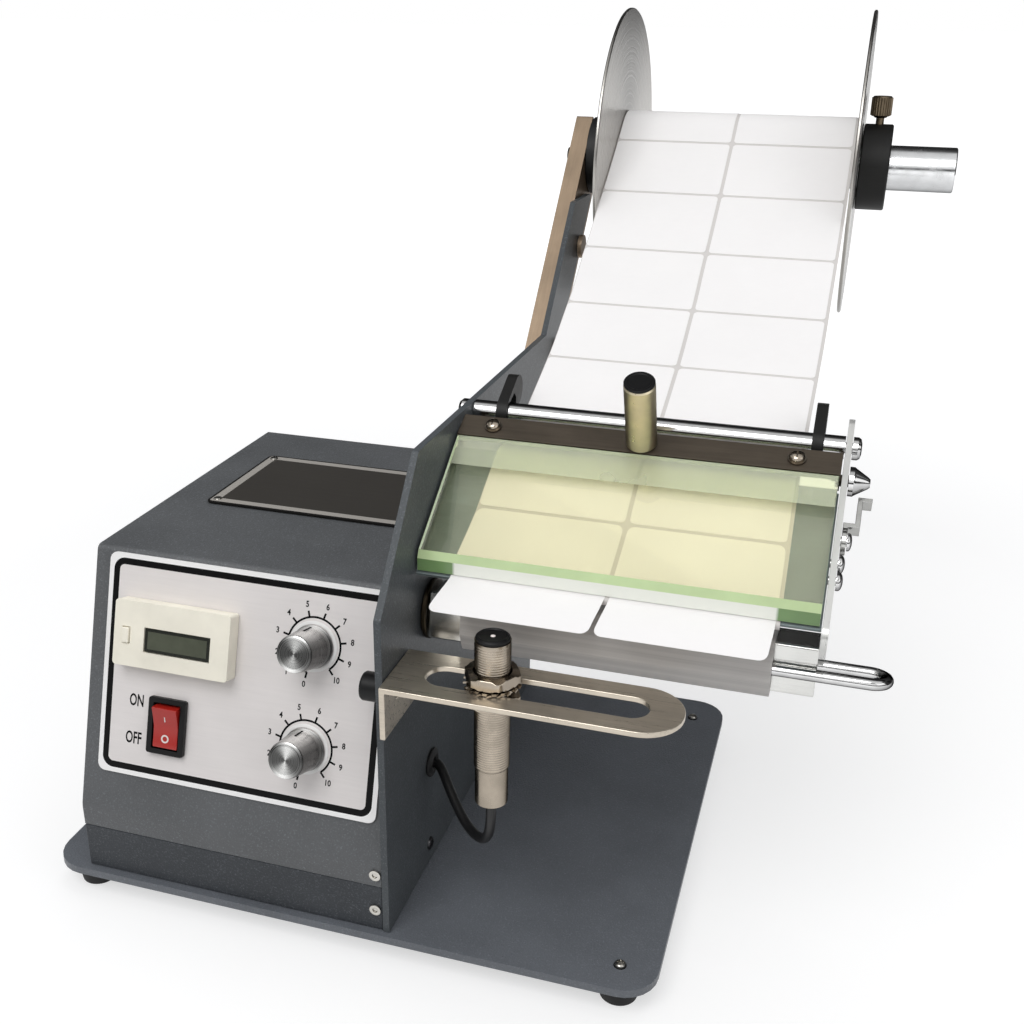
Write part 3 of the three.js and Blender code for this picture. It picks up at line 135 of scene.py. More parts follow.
class NodeDesk:
    """A node tree with short ways to add nodes and join them."""

    def __init__(self, tree: bpy.types.NodeTree) -> None:
        """Keeps the tree.

        Args:
            tree: The tree to work in.
        """
        self.tree = tree

    def add(self, kind: str, inputs: dict | None = None, **settings: object) -> bpy.types.Node:
        """Adds a node, sets it and feeds it.

        Args:
            kind: The node's type.
            inputs: A value or another node's socket for each input.
            **settings: The node's own settings.

        Returns:
            The node.
        """
        node = self.tree.nodes.new(kind)
        for name, value in settings.items():
            setattr(node, name, value)
        for key, value in (inputs or {}).items():
            if isinstance(value, Socket):
                self.tree.links.new(value, node.inputs[key])
            else:
                node.inputs[key].default_value = value
        return node

    def feed(self, node: bpy.types.Node, name: str, value: Socket) -> None:
        """Joins a value to a node's input."""
        self.tree.links.new(value, node.inputs[name])

    def math(self, operation: str, *values: float | Socket) -> Socket:
        """Adds a Math node over values or sockets and returns its result."""
        return self.add("ShaderNodeMath", dict(enumerate(values)), operation=operation).outputs[0]

    def vector(self, operation: str, *values: Point | Socket) -> bpy.types.Node:
        """Adds a Vector Math node over vectors or sockets and returns the node."""
        return self.add("ShaderNodeVectorMath", dict(enumerate(values)), operation=operation)

    def mean(self, first: Socket, second: Socket, share: float) -> Socket:
        """Averages two values, where the first one has the given share."""
        return self.math("MULTIPLY_ADD", first, share, self.math("MULTIPLY", second, 1.0 - share))

    def spread(self, value: Socket, low: float, high: float, to_low: float = 0.0,
               to_high: float = 1.0) -> Socket:
        """Maps a value's range to another, clamped.

        Args:
            value: The value to map.
            low: Where the range starts.
            high: Where the range ends.
            to_low: What the start becomes.
            to_high: What the end becomes.

        Returns:
            The mapped value.
        """
        node = self.add("ShaderNodeMapRange", {"Value": value, "From Min": low, "From Max": high,
                                               "To Min": to_low, "To Max": to_high})
        return node.outputs["Result"]

    def blend(self, mask: Socket | float, first: Point | Socket, second: Point | Socket) -> Socket:
        """Mixes two colours by a mask.

        Args:
            mask: 0 shows the first colour, 1 the second.
            first: A colour.
            second: Another colour.

        Returns:
            The mixed colour.
        """
        node = self.add("ShaderNodeMix", data_type="RGBA")
        for socket, value in zip((node.inputs[0], node.inputs[6], node.inputs[7]), (mask, first, second)):
            if isinstance(value, Socket):
                self.tree.links.new(value, socket)
            else:
                socket.default_value = value
        return node.outputs[2]


class Effect(Enum):
    """Surface effects that several finishes share, each a node group."""

    FLECKS = "flecks"
    STREAKS = "streaks"
    # This group also carries the painted glint of turned metal.
    RINGS = "rings"
    MOTTLE = "mottle"
    BORDER = "border"


class EffectBook:
    """Builds each shared effect once and places it in materials."""

    def __init__(self) -> None:
        """Starts with no group built."""
        self.built: dict[Effect, bpy.types.NodeTree] = {}
        self.makers: dict[Effect, Callable[[bpy.types.NodeTree], None]] = {
            Effect.FLECKS: self.flecks, Effect.STREAKS: self.streaks, Effect.RINGS: self.rings,
            Effect.MOTTLE: self.mottle, Effect.BORDER: self.border,
        }

    def place(self, desk: NodeDesk, effect: Effect, inputs: dict) -> bpy.types.Node:
        """Places an effect in a material.

        Args:
            desk: The material's nodes.
            effect: Which effect.
            inputs: Its values and sockets.

        Returns:
            The group's node.
        """
        if effect not in self.built:
            tree = bpy.data.node_groups.new(effect.value, "ShaderNodeTree")
            self.makers[effect](tree)
            self.built[effect] = tree
        return desk.add("ShaderNodeGroup", inputs, node_tree=self.built[effect])

    @staticmethod
    def sockets(tree: bpy.types.NodeTree, inputs: dict[str, str],
                outputs: Sequence[str]) -> tuple[NodeDesk, dict[str, Socket], bpy.types.Node]:
        """Gives a group its sockets.

        Args:
            tree: The group.
            inputs: The kind of each input, by its name.
            outputs: The name of each output, which is a number.

        Returns:
            The group's desk, its input sockets by name and its output node.
        """
        for name, kind in inputs.items():
            tree.interface.new_socket(name, in_out="INPUT", socket_type=kind)
        for name in outputs:
            tree.interface.new_socket(name, in_out="OUTPUT", socket_type=NUMBER)
        desk = NodeDesk(tree)
        start = desk.add("NodeGroupInput")
        return desk, {name: start.outputs[name] for name in inputs}, desk.add("NodeGroupOutput")

    def flecks(self, tree: bpy.types.NodeTree) -> None:
        """Builds the small bright specks and the bumps of a hammered coat.

        Args:
            tree: The node tree of the group.
        """
        desk, given, end = self.sockets(tree, {"Vector": VECTOR, "Scale": NUMBER}, ["Fleck", "Height"])
        grain = desk.add("ShaderNodeTexNoise", {"Vector": given["Vector"], "Scale": given["Scale"],
                                                "Detail": 2.0, "Roughness": 0.62})
        cells = desk.add("ShaderNodeTexVoronoi", {"Vector": given["Vector"], "Scale": given["Scale"],
                                                  "Randomness": 1.0}, feature="SMOOTH_F1")
        dots = desk.spread(grain.outputs["Fac"], 0.56, 0.74)
        desk.feed(end, "Fleck", dots)
        height = desk.math("ADD", desk.math("MULTIPLY", cells.outputs["Distance"], 0.6),
                           grain.outputs["Fac"])
        desk.feed(end, "Height", height)

    def streaks(self, tree: bpy.types.NodeTree) -> None:
        """Builds fine brush marks, which Stretch draws out along one axis.

        Args:
            tree: The node tree of the group.
        """
        desk, given, end = self.sockets(tree, {"Vector": VECTOR, "Stretch": VECTOR}, ["Streak"])
        drawn = desk.vector("MULTIPLY", given["Vector"], given["Stretch"])
        marks = desk.add("ShaderNodeTexNoise", {"Vector": drawn.outputs[0], "Scale": 1.0, "Detail": 5.0,
                                                "Roughness": 0.7})
        desk.feed(end, "Streak", desk.spread(marks.outputs["Fac"], 0.3, 0.7))

    def rings(self, tree: bpy.types.NodeTree) -> None:
        """Builds turning marks round the local Z axis, and a painted glint that fans out on them, a
        highlight by angle.

        Args:
            tree: The node tree of the group.
        """
        desk, given, end = self.sockets(
            tree, {"Vector": VECTOR, "Scale": NUMBER, "Fan Angle": NUMBER}, ["Ring", "Fan"])
        parts = desk.add("ShaderNodeSeparateXYZ", {"Vector": given["Vector"]})
        flat = desk.add("ShaderNodeCombineXYZ", {"X": parts.outputs[0], "Y": parts.outputs[1]})
        radius = desk.vector("LENGTH", flat.outputs[0]).outputs["Value"]
        reach = desk.math("SUBTRACT", radius, parts.outputs[2])
        marks = desk.add("ShaderNodeTexNoise", {"W": desk.math("MULTIPLY", reach, given["Scale"]),
                                                "Scale": 1.0, "Detail": 4.0, "Roughness": 0.75},
                         noise_dimensions="1D")
        desk.feed(end, "Ring", desk.spread(marks.outputs["Fac"], 0.28, 0.72))
        # Painted highlight: a glint by angle round the axis, for the colour.
        angle = desk.math("ARCTAN2", parts.outputs[1], parts.outputs[0])
        turned = desk.math("MULTIPLY", desk.math("SUBTRACT", angle, given["Fan Angle"]), 2.0)
        painted_glint = desk.spread(desk.math("COSINE", turned), -1.0, 1.0)
        desk.feed(end, "Fan", painted_glint)

    def mottle(self, tree: bpy.types.NodeTree) -> None:
        """Builds a slow, cloudy change over the surface.

        Args:
            tree: The node tree of the group.
        """
        desk, given, end = self.sockets(tree, {"Vector": VECTOR, "Scale": NUMBER}, ["Cloud"])
        cloud = desk.add("ShaderNodeTexNoise", {"Vector": given["Vector"], "Scale": given["Scale"],
                                                "Detail": 3.0, "Roughness": 0.55})
        desk.feed(end, "Cloud", desk.spread(cloud.outputs["Fac"], 0.3, 0.7))

    def border(self, tree: bpy.types.NodeTree) -> None:
        """Builds a line that runs inside a rounded rectangle, in the local X and Y.

        Args:
            tree: The node tree of the group.
        """
        desk, given, end = self.sockets(
            tree, {"Vector": VECTOR, "Half": VECTOR, "Corner": NUMBER, "Inset": NUMBER, "Width": NUMBER},
            ["Line", "Outside"])
        folded = desk.vector("ABSOLUTE", given["Vector"]).outputs[0]
        parts = desk.add("ShaderNodeSeparateXYZ", {"Vector": desk.vector(
            "SUBTRACT", folded, given["Half"]).outputs[0]})
        over = [desk.math("ADD", parts.outputs[i], given["Corner"]) for i in range(2)]
        outer = [desk.math("MAXIMUM", side, 0.0) for side in over]
        flat = desk.add("ShaderNodeCombineXYZ", {"X": outer[0], "Y": outer[1]})
        inner = desk.math("MINIMUM", desk.math("MAXIMUM", *over), 0.0)
        reach = desk.math("SUBTRACT", desk.math(
            "ADD", desk.vector("LENGTH", flat.outputs[0]).outputs["Value"], inner), given["Corner"])
        depth = desk.math("ADD", reach, given["Inset"])
        half_width = desk.math("MULTIPLY", given["Width"], 0.5)
        line = desk.math("LESS_THAN", desk.math("ABSOLUTE", desk.math("ADD", depth, half_width)), half_width)
        desk.feed(end, "Line", line)
        desk.feed(end, "Outside", desk.math("GREATER_THAN", depth, 0.0))


# Finishes


class Coat:
    """A material in the making, with short ways to add effects and join them to its shader."""

    def __init__(self, made: bpy.types.Material, effects: EffectBook) -> None:
        """Starts on a new material.

        Args:
            made: The material.
            effects: The shared effects.
        """
        made.use_nodes = True
        self.effects = effects
        self.desk = NodeDesk(made.node_tree)
        self.shader = made.node_tree.nodes["Principled BSDF"]
        self.coords = self.desk.add("ShaderNodeTexCoord").outputs["Object"]

    def fix(self, name: str, value: float | Point) -> None:
        """Sets what is the same all over the surface."""
        self.shader.inputs[name].default_value = value

    def vary(self, name: str, value: Socket) -> None:
        """Joins what changes over the surface to the shader."""
        self.desk.feed(self.shader, name, value)

    def effect(self, effect: Effect, inputs: dict) -> bpy.types.Node:
        """Places a shared effect, on the object's coordinates unless its inputs say others."""
        return self.effects.place(self.desk, effect, {"Vector": self.coords, **inputs})

    def clouds(self, scale: float) -> Socket:
        """Adds slow clouds and returns their mask."""
        return self.effect(Effect.MOTTLE, {"Scale": scale}).outputs["Cloud"]

    def streaks(self, stretch: Point) -> Socket:
        """Adds fine marks, drawn out along one axis, and returns their mask."""
        return self.effect(Effect.STREAKS, {"Stretch": stretch}).outputs["Streak"]

    def local(self, centre: Point, tilt: Point) -> Socket:
        """Gives the coordinates round a centre, in a tilted frame."""
        inputs = {"Vector": self.coords, "Location": centre, "Rotation": tilt}
        return self.desk.add("ShaderNodeMapping", inputs, vector_type="TEXTURE").outputs[0]


@dataclass(frozen=True)
class Finish:
    """A surface: its colour and its gloss, and how far its tone, its gloss and its height vary."""

    name: str
    color: Color
    roughness: float
    metallic: float = 0.0
    shine: float = 0.5
    cloud_scale: float = 60.0
    dark: float = 0.93
    light: float = 1.05
    gloss_shares: Pair = (0.9, 1.1)
    bump_share: float = 0.12
    bump_height: float = 0.00005

    def material(self, effects: EffectBook) -> bpy.types.Material:
        """Builds the material.

        Args:
            effects: The shared effects.

        Returns:
            The material.
        """
        made = bpy.data.materials.new(self.name)
        made.diffuse_color = srgb(*self.color)
        coat = Coat(made, effects)
        coat.fix("Base Color", srgb(*self.color))
        coat.fix("Roughness", self.roughness)
        coat.fix("Metallic", self.metallic)
        coat.fix("Specular IOR Level", self.shine)
        self.dress(coat)
        return made

    def dress(self, coat: Coat) -> None:
        """Adds what this kind of surface has."""
        raise NotImplementedError

    def tones(self, coat: Coat, mask: Socket) -> Socket:
        """Runs the colour from its darker to its lighter tone.

        Args:
            coat: The material in the making.
            mask: 0 for the dark tone, 1 for the light one.

        Returns:
            The colour.
        """
        dark, light = ((*(min(channel * share, 1.0) for channel in srgb(*self.color)[:3]), 1.0)
                       for share in (self.dark, self.light))
        return coat.desk.blend(mask, dark, light)

    def gloss(self, coat: Coat, mask: Socket) -> None:
        """Runs the roughness between its two shares.

        Args:
            coat: The material in the making.
            mask: 0 for the first share, 1 for the second.
        """
        first, second = (self.roughness * share for share in self.gloss_shares)
        coat.vary("Roughness", coat.desk.spread(mask, 0.0, 1.0, first, second))

    def bump(self, coat: Coat, height: Socket) -> None:
        """Roughens the surface.

        Args:
            coat: The material in the making.
            height: The height over the surface, as a share of the finish's own.
        """
        node = coat.desk.add("ShaderNodeBump", {"Height": height, "Strength": self.bump_share,
                                                "Distance": self.bump_height})
        coat.vary("Normal", node.outputs["Normal"])


@dataclass(frozen=True)
class HammeredPaint(Finish):
    """Dark powder coat with a hammered grain and light specks."""

    cloud_scale: float = 28.0
    dark: float = 0.88
    light: float = 1.1
    gloss_shares: Pair = (1.0, 0.72)
    bump_share: float = 0.7
    bump_height: float = 0.0003
    fleck: Color = (150, 156, 162)
    grain: float = 1500.0
    speck_share: float = 0.36

    def dress(self, coat: Coat) -> None:
        """Adds the specks, the grain and a cloudy tone.

        Args:
            coat: The material in the making.
        """
        specks = coat.effect(Effect.FLECKS, {"Scale": self.grain})
        ground = self.tones(coat, coat.clouds(self.cloud_scale))
        amount = coat.desk.math("MULTIPLY", specks.outputs["Fleck"], self.speck_share)
        coat.vary("Base Color", coat.desk.blend(amount, ground, srgb(*self.fleck)))
        self.gloss(coat, specks.outputs["Fleck"])
        self.bump(coat, specks.outputs["Height"])


@dataclass(frozen=True)
class BrushedMetal(Finish):
    """Bare metal with brush marks along one axis."""

    metallic: float = 1.0
    dark: float = 0.72
    light: float = 1.12
    gloss_shares: Pair = (0.8, 1.25)
    stretch: Place = (30.0, 900.0, 900.0)
    cloud_share: float = 0.5

    def dress(self, coat: Coat) -> None:
        """Adds the brush marks.

        Args:
            coat: The material in the making.
        """
        marks = coat.streaks(self.stretch)
        mask = coat.desk.mean(coat.clouds(self.cloud_scale), marks, self.cloud_share)
        coat.vary("Base Color", self.tones(coat, mask))
        self.gloss(coat, marks)
        self.bump(coat, marks)


@dataclass(frozen=True)
class TurnedMetal(Finish):
    """Metal turned on a lathe: rings round an axis, and a painted glint that fans out, a highlight painted
    into its colour by angle.
    """

    metallic: float = 1.0
    dark: float = 0.45
    light: float = 1.12
    gloss_shares: Pair = (0.8, 1.3)
    bump_share: float = 0.02
    centre: Place = (0.0, 0.0, 0.0)
    tilt: Place = (0.0, 0.0, 0.0)
    scale: float = 1400.0
    # fan_angle, fan_share and fan_power set a painted highlight: bright wedges by angle in the colour, on a
    # tone that dark sets
    fan_angle: float = 0.6
    fan_share: float = 0.5
    fan_power: float = 2.0

    def dress(self, coat: Coat) -> None:
        """Adds the rings and the painted glint.

        Args:
            coat: The material in the making.
        """
        marks = coat.effect(Effect.RINGS, {"Vector": coat.local(self.centre, self.tilt),
                                           "Scale": self.scale, "Fan Angle": self.fan_angle})
        # Painted highlight: the glint's wedges light the colour up by angle round the axis.
        painted_glint = coat.desk.math("POWER", marks.outputs["Fan"], self.fan_power)
        coat.vary("Base Color", self.tones(coat, coat.desk.mean(painted_glint, marks.outputs["Ring"], self.fan_share)))
        self.gloss(coat, marks.outputs["Ring"])
        self.bump(coat, marks.outputs["Ring"])


@dataclass(frozen=True)
class PlatedMetal(Finish):
    """Bright plated metal, smooth, with faint smears and painted shade: a darker rim where it turns away
    from the view, standing in for dark reflections.
    """

    metallic: float = 1.0
    cloud_scale: float = 160.0
    dark: float = 0.86
    gloss_shares: Pair = (1.5, 0.7)
    # rim, rim_tone and rim_power set painted shade that darkens the colour where the surface turns away from
    # the view
    rim: float = 0.6
    rim_tone: float = 0.12
    rim_power: float = 2.0
    edge: float = 1.0

    def dress(self, coat: Coat) -> None:
        """Adds the smears and the painted shade on the rim.

        Args:
            coat: The material in the making.
        """
        coat.fix("Specular Tint", grey(self.edge))
        smears = coat.clouds(self.cloud_scale)
        # Painted shade: the colour darkens towards the rim as the surface turns away from the view.
        away = coat.desk.add("ShaderNodeLayerWeight", {"Blend": 0.5}).outputs["Facing"]
        share = coat.desk.math("MULTIPLY", coat.desk.math("POWER", away, self.rim_power), self.rim)
        painted_rim_shade = (*(channel * self.rim_tone for channel in srgb(*self.color)[:3]), 1.0)
        coat.vary("Base Color", coat.desk.blend(share, self.tones(coat, smears), painted_rim_shade))
        self.gloss(coat, smears)


@dataclass(frozen=True)
class MouldedPlastic(Finish):
    """Moulded plastic or rubber with a fine grain."""

    cloud_scale: float = 70.0
    bump_share: float = 0.1
    bump_height: float = 0.0001
    grain: float = 2200.0

    def dress(self, coat: Coat) -> None:
        """Adds the grain and a slow change of tone.

        Args:
            coat: The material in the making.
        """
        slow = coat.clouds(self.cloud_scale)
        coat.vary("Base Color", self.tones(coat, slow))
        self.gloss(coat, slow)
        self.bump(coat, coat.effect(Effect.FLECKS, {"Scale": self.grain}).outputs["Height"])


@dataclass(frozen=True)
class PaperStock(Finish):
    """Coated paper: soft, with fibres or the edges of its turns barely seen."""

    shine: float = 0.3
    cloud_scale: float = 24.0
    dark: float = 0.965
    light: float = 1.01
    bump_share: float = 0.04
    stretch: Place = (260.0, 700.0, 700.0)
    fibre_share: float = 0.3

    def dress(self, coat: Coat) -> None:
        """Adds the fibres.

        Args:
            coat: The material in the making.
        """
        fibres = coat.streaks(self.stretch)
        mask = coat.desk.mean(fibres, coat.clouds(self.cloud_scale), self.fibre_share)
        coat.vary("Base Color", self.tones(coat, mask))
        self.bump(coat, fibres)


@dataclass(frozen=True)
class PrintedSheet(Finish):
    """Metal sheet with a rounded line printed inside its edge."""

    metallic: float = 0.25
    shine: float = 0.15
    cloud_scale: float = 30.0
    centre: Place = (0.0, 0.0, 0.0)
    tilt: Place = (0.0, 0.0, 0.0)
    half: Place = (0.05, 0.04, 0.0)
    corner: float = 0.004
    inset: float = 0.0017
    line_width: float = 0.0024
    line: Color = (8, 8, 9)
    margin: Color = (252, 251, 250)
    stretch: Place = (40.0, 900.0, 900.0)
    streak_share: float = 0.35

    def dress(self, coat: Coat) -> None:
        """Adds the line, the margin outside it and faint brush marks.

        Args:
            coat: The material in the making.
        """
        lines = coat.effect(Effect.BORDER, {
            "Vector": coat.local(self.centre, self.tilt), "Half": self.half, "Corner": self.corner,
            "Inset": self.inset, "Width": self.line_width}).outputs
        marks = coat.streaks(self.stretch)
        plain = self.tones(coat, coat.desk.mean(marks, coat.clouds(self.cloud_scale), self.streak_share))
        framed = coat.desk.blend(lines["Outside"], plain, srgb(*self.margin))
        coat.vary("Base Color", coat.desk.blend(lines["Line"], framed, srgb(*self.line)))
        bare = coat.desk.math("SUBTRACT", 1.0, lines["Line"])
        coat.vary("Metallic", coat.desk.math("MULTIPLY", bare, self.metallic))
        self.gloss(coat, marks)


@dataclass(frozen=True)
class ClearSlab(Finish):
    """Thick clear sheet with a pale green body."""

    cloud_scale: float = 45.0
    dark: float = 0.985
    light: float = 1.01
    gloss_shares: Pair = (0.6, 1.5)
    ior: float = 1.49
    clear: float = 1.0

    def dress(self, coat: Coat) -> None:
        """Makes it clear, with faint smears in its gloss.

        Args:
            coat: The material in the making.
        """
        coat.fix("Transmission Weight", self.clear)
        coat.fix("IOR", self.ior)
        smears = coat.clouds(self.cloud_scale)
        self.gloss(coat, smears)
        coat.vary("Base Color", self.tones(coat, smears))


@dataclass(frozen=True)
class SlabEdge(Finish):
    """Front face of a clear slab: green at its ends, pale where labels show through it."""

    dark: float = 0.9
    light: float = 1.1
    pale: Color = (246, 248, 238)
    middle: float = 0.054
    half_width: float = 0.0532
    fade: float = 0.0005

    def dress(self, coat: Coat) -> None:
        """Adds the pale stretch between the ends.

        Args:
            coat: The material in the making.
        """
        x = coat.desk.add("ShaderNodeSeparateXYZ", {"Vector": coat.coords}).outputs["X"]
        away = coat.desk.math("ABSOLUTE", coat.desk.math("SUBTRACT", x, self.middle))
        share = coat.desk.spread(away, self.half_width - self.fade, self.half_width + self.fade, 1.0, 0.0)
        green = self.tones(coat, coat.clouds(self.cloud_scale))
        coat.vary("Base Color", coat.desk.blend(share, green, srgb(*self.pale)))


@dataclass(frozen=True)
class CountingWindow(Finish):
    """Dark counter window with a darker rim."""

    cloud_scale: float = 110.0
    dark: float = 0.8
    light: float = 1.2
    centre: Place = (0.0, 0.0, 0.0)
    tilt: Place = (0.0, 0.0, 0.0)
    half: Place = (0.0124, 0.0057, 0.0)
    corner: float = 0.0004
    edge_width: float = 0.0011
    edge: Color = (38, 40, 34)
    coating: float = 0.6

    def dress(self, coat: Coat) -> None:
        """Adds the rim, soft clouds in the middle and a clear coat.

        Args:
            coat: The material in the making.
        """
        rim = coat.effect(Effect.BORDER, {
            "Vector": coat.local(self.centre, self.tilt), "Half": self.half, "Corner": self.corner,
            "Inset": 0.0, "Width": self.edge_width}).outputs["Line"]
        middle = self.tones(coat, coat.clouds(self.cloud_scale))
        coat.vary("Base Color", coat.desk.blend(rim, middle, srgb(*self.edge)))
        coat.fix("Coat Weight", self.coating)


class PaintShop:
    """Keeps one material for each finish."""

    def __init__(self) -> None:
        """Starts with no material made."""
        self.effects = EffectBook()
        self.made: dict[Finish, bpy.types.Material] = {}

    def material(self, finish: Finish) -> bpy.types.Material:
        """Gives a finish's material, built when it is first asked for.

        Args:
            finish: The finish.

        Returns:
            Its material.
        """
        if finish not in self.made:
            self.made[finish] = finish.material(self.effects)
        return self.made[finish]


HAMMERED = HammeredPaint("hammered_slate", (89, 91, 93), 0.42)
HAMMERED_BASE = HammeredPaint("base_slate", (102, 106, 112), 0.42)
# The skirt is the box's slate darkened, painted shade on its low front faces.
SKIRT_SLATE_SHADED = HammeredPaint("skirt_slate", (62, 65, 69), 0.46, speck_share=0.25, shine=0.25)
HAMMERED_GLOSS = HammeredPaint("side_plate_slate", (80, 84, 87), 0.36, speck_share=0.3,
                               bump_share=0.25, shine=0.2)
RUBBER = MouldedPlastic("foot_rubber", (30, 30, 31), 0.75, bump_share=0.2)
CABLE_RUBBER = MouldedPlastic("cable_rubber", (20, 20, 21), 0.45, bump_share=0.06)
IVORY = MouldedPlastic("ivory_plastic", (248, 243, 227), 0.42)
BLACK = MouldedPlastic("black_plastic", (15, 15, 16), 0.42, shine=0.25)
BLACK_SATIN = MouldedPlastic("black_satin", (21, 21, 20), 0.5, bump_share=0.15, shine=0.35)
RED = MouldedPlastic("red_plastic", (178, 38, 30), 0.22, bump_share=0.03)
SWITCH_PRINT = MouldedPlastic("switch_print", (236, 226, 222), 0.4, bump_share=0.02)
INK = MouldedPlastic("dial_ink", (12, 12, 13), 0.5, bump_share=0.02, shine=0.1)
DIAL_WHITE = MouldedPlastic("dial_white", (246, 245, 243), 0.35, bump_share=0.02)
WARM_BAR = BrushedMetal("warm_bar", (93, 84, 73), 0.4, stretch=(40.0, 1100.0, 1100.0), metallic=0.6)
WARM_ARM = BrushedMetal("warm_arm", (166, 145, 122), 0.4, stretch=(900.0, 60.0, 60.0), metallic=0.6)
WARM_BRACKET = BrushedMetal("warm_bracket", (210, 200, 184), 0.3, stretch=(40.0, 900.0, 900.0),
                            dark=0.76, metallic=0.85)
DECK = BrushedMetal("stage_steel", (128, 140, 141), 0.42, stretch=(60.0, 800.0, 800.0), metallic=0.35)
ZINC = BrushedMetal("motor_zinc", (178, 180, 182), 0.42, stretch=(120.0, 120.0, 120.0))
# The plated finishes carry painted shade on their rims, set by rim and the painted shade fields.
NICKEL = PlatedMetal("nickel", (184, 173, 158), 0.22, dark=0.88, rim=0.9, rim_power=1.1, edge=0.3)
NICKEL_POST = PlatedMetal("nickel_post", (238, 226, 196), 0.36, dark=0.94, rim=0.9, rim_power=1.2,
                          edge=0.4)
CHROME = PlatedMetal("chrome", (226, 226, 226), 0.1, rim=1.0, rim_tone=0.03, rim_power=0.9, edge=0.1)
LEVER = PlatedMetal("lever_steel", (206, 206, 203), 0.16, rim=0.9, rim_tone=0.1, rim_power=1.2, edge=0.2)
TUBE = PlatedMetal("tube_aluminium", (230, 231, 232), 0.2, dark=0.95, rim=0.8, rim_tone=0.2,
                   rim_power=1.3, edge=0.4)
SATIN_END = BrushedMetal("end_plate_satin", (214, 214, 211), 0.3, stretch=(300.0, 40.0, 40.0),
                         dark=0.9, metallic=0.6)
SATIN_SHAFT = BrushedMetal("shaft_satin", (206, 206, 203), 0.17, stretch=(50.0, 900.0, 900.0),
                           dark=0.84)
SCREW_STEEL = PlatedMetal("screw_steel", (206, 203, 196), 0.2)
DARK_SCREW = PlatedMetal("dark_screw", (90, 90, 92), 0.3)
DARK_BUSH = PlatedMetal("oiled_bush", (70, 62, 50), 0.38)
BRASS = PlatedMetal("brass", (190, 152, 86), 0.28)
LABEL = PaperStock("label_white", (247, 245, 244), 0.55)
LINER = PaperStock("liner_grey", (215, 211, 208), 0.42, shine=0.5)
WINDING = PaperStock("winding_grey", (222, 218, 214), 0.4, shine=0.5, stretch=(2.0, 420.0, 420.0),
                     fibre_share=0.85, dark=0.68)
GLASS = ClearSlab("clear_slab", (253, 251, 230), 0.03)
GLASS_FRONT = SlabEdge("slab_front_green", (118, 150, 98), 0.12)
GLASS_SLOPE = MouldedPlastic("slab_slope_green", (198, 219, 166), 0.12, bump_share=0.02)
# The slab's pale rim is a painted highlight on its edges.
GLASS_RIM_HIGHLIGHT = MouldedPlastic("slab_rim_pale", (228, 243, 208), 0.15, bump_share=0.02)
GLASS_BAND = ClearSlab("slab_band", (250, 255, 232), 0.2, clear=0.8)
BOARD = MouldedPlastic("circuit_board", (38, 102, 60), 0.45)


# Modelling


def turned_at(place: Point, angle: float) -> Matrix:
    """Gives the frame at a place in Y and Z that is turned round X."""
    return Matrix.Translation((0, *place)) @ Matrix.Rotation(angle, 4, "X")


def placed(name: str, data: bpy.types.ID) -> bpy.types.Object:
    """Makes an object of its data and puts it in the scene.

    Args:
        name: The object's name.
        data: Its mesh, curve, lamp or camera.

    Returns:
        The object.
    """
    made = bpy.data.objects.new(name, data)
    bpy.context.scene.collection.objects.link(made)
    return made


def round_curve(name: str, kind: str, points: Sequence[Point], radius: float,
                resolution: int) -> tuple[bpy.types.Curve, bpy.types.Spline]:
    """Makes a round curve along points.

    Args:
        name: The curve's name.
        kind: The kind of its spline.
        points: Its centre line.
        radius: Its radius.
        resolution: The extra steps in each quarter of its round.

    Returns:
        The curve and its spline.
    """
    curve = bpy.data.curves.new(name, "CURVE")
    curve.dimensions = "3D"
    curve.bevel_depth = radius
    curve.bevel_resolution = resolution
    curve.use_fill_caps = True
    line = curve.splines.new(kind)
    line.points.add(len(points) - 1)
    for spot, point in zip(line.points, points):
        spot.co = (*point, 1)
    return curve, line


@dataclass
class Bench:
    """The frames that pieces are modelled in, each a step to the row frame in metres."""

    machine: Matrix
    panel: Matrix
    stage: Matrix
    bar: Matrix
    take_up: Matrix
    nodes: dict[str, bpy.types.Object]
    bodies: dict[str, list[str]]
    shop: PaintShop

    @classmethod
    def measured(cls, frame: dict) -> Bench:
        """Finds the machine's place from two of its plates.


        Returns:
            The bench.
        """
        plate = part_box("side_plate")[1]
        base_low, base_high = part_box("base_plate")
        corner = Vector((plate.x, base_low.y, base_high.z))
        machine = Matrix.Translation(corner) @ Matrix.Scale(MM, 4)
        panel = machine @ turned_at(PANEL_TOP, PANEL_TURN)
        stage = machine @ turned_at(STAGE_EDGE, STAGE_TILT)
        bar = stage @ turned_at(BAR_SEAT, BAR_TILT)
        take_up = machine @ turned_at(TAKE_UP_AXIS, TAKE_UP_TURN)
        groups = frame["record"]["behaviour"]["bodies"]
        return cls(machine, panel, stage, bar, take_up, frame["nodes"], groups, PaintShop())


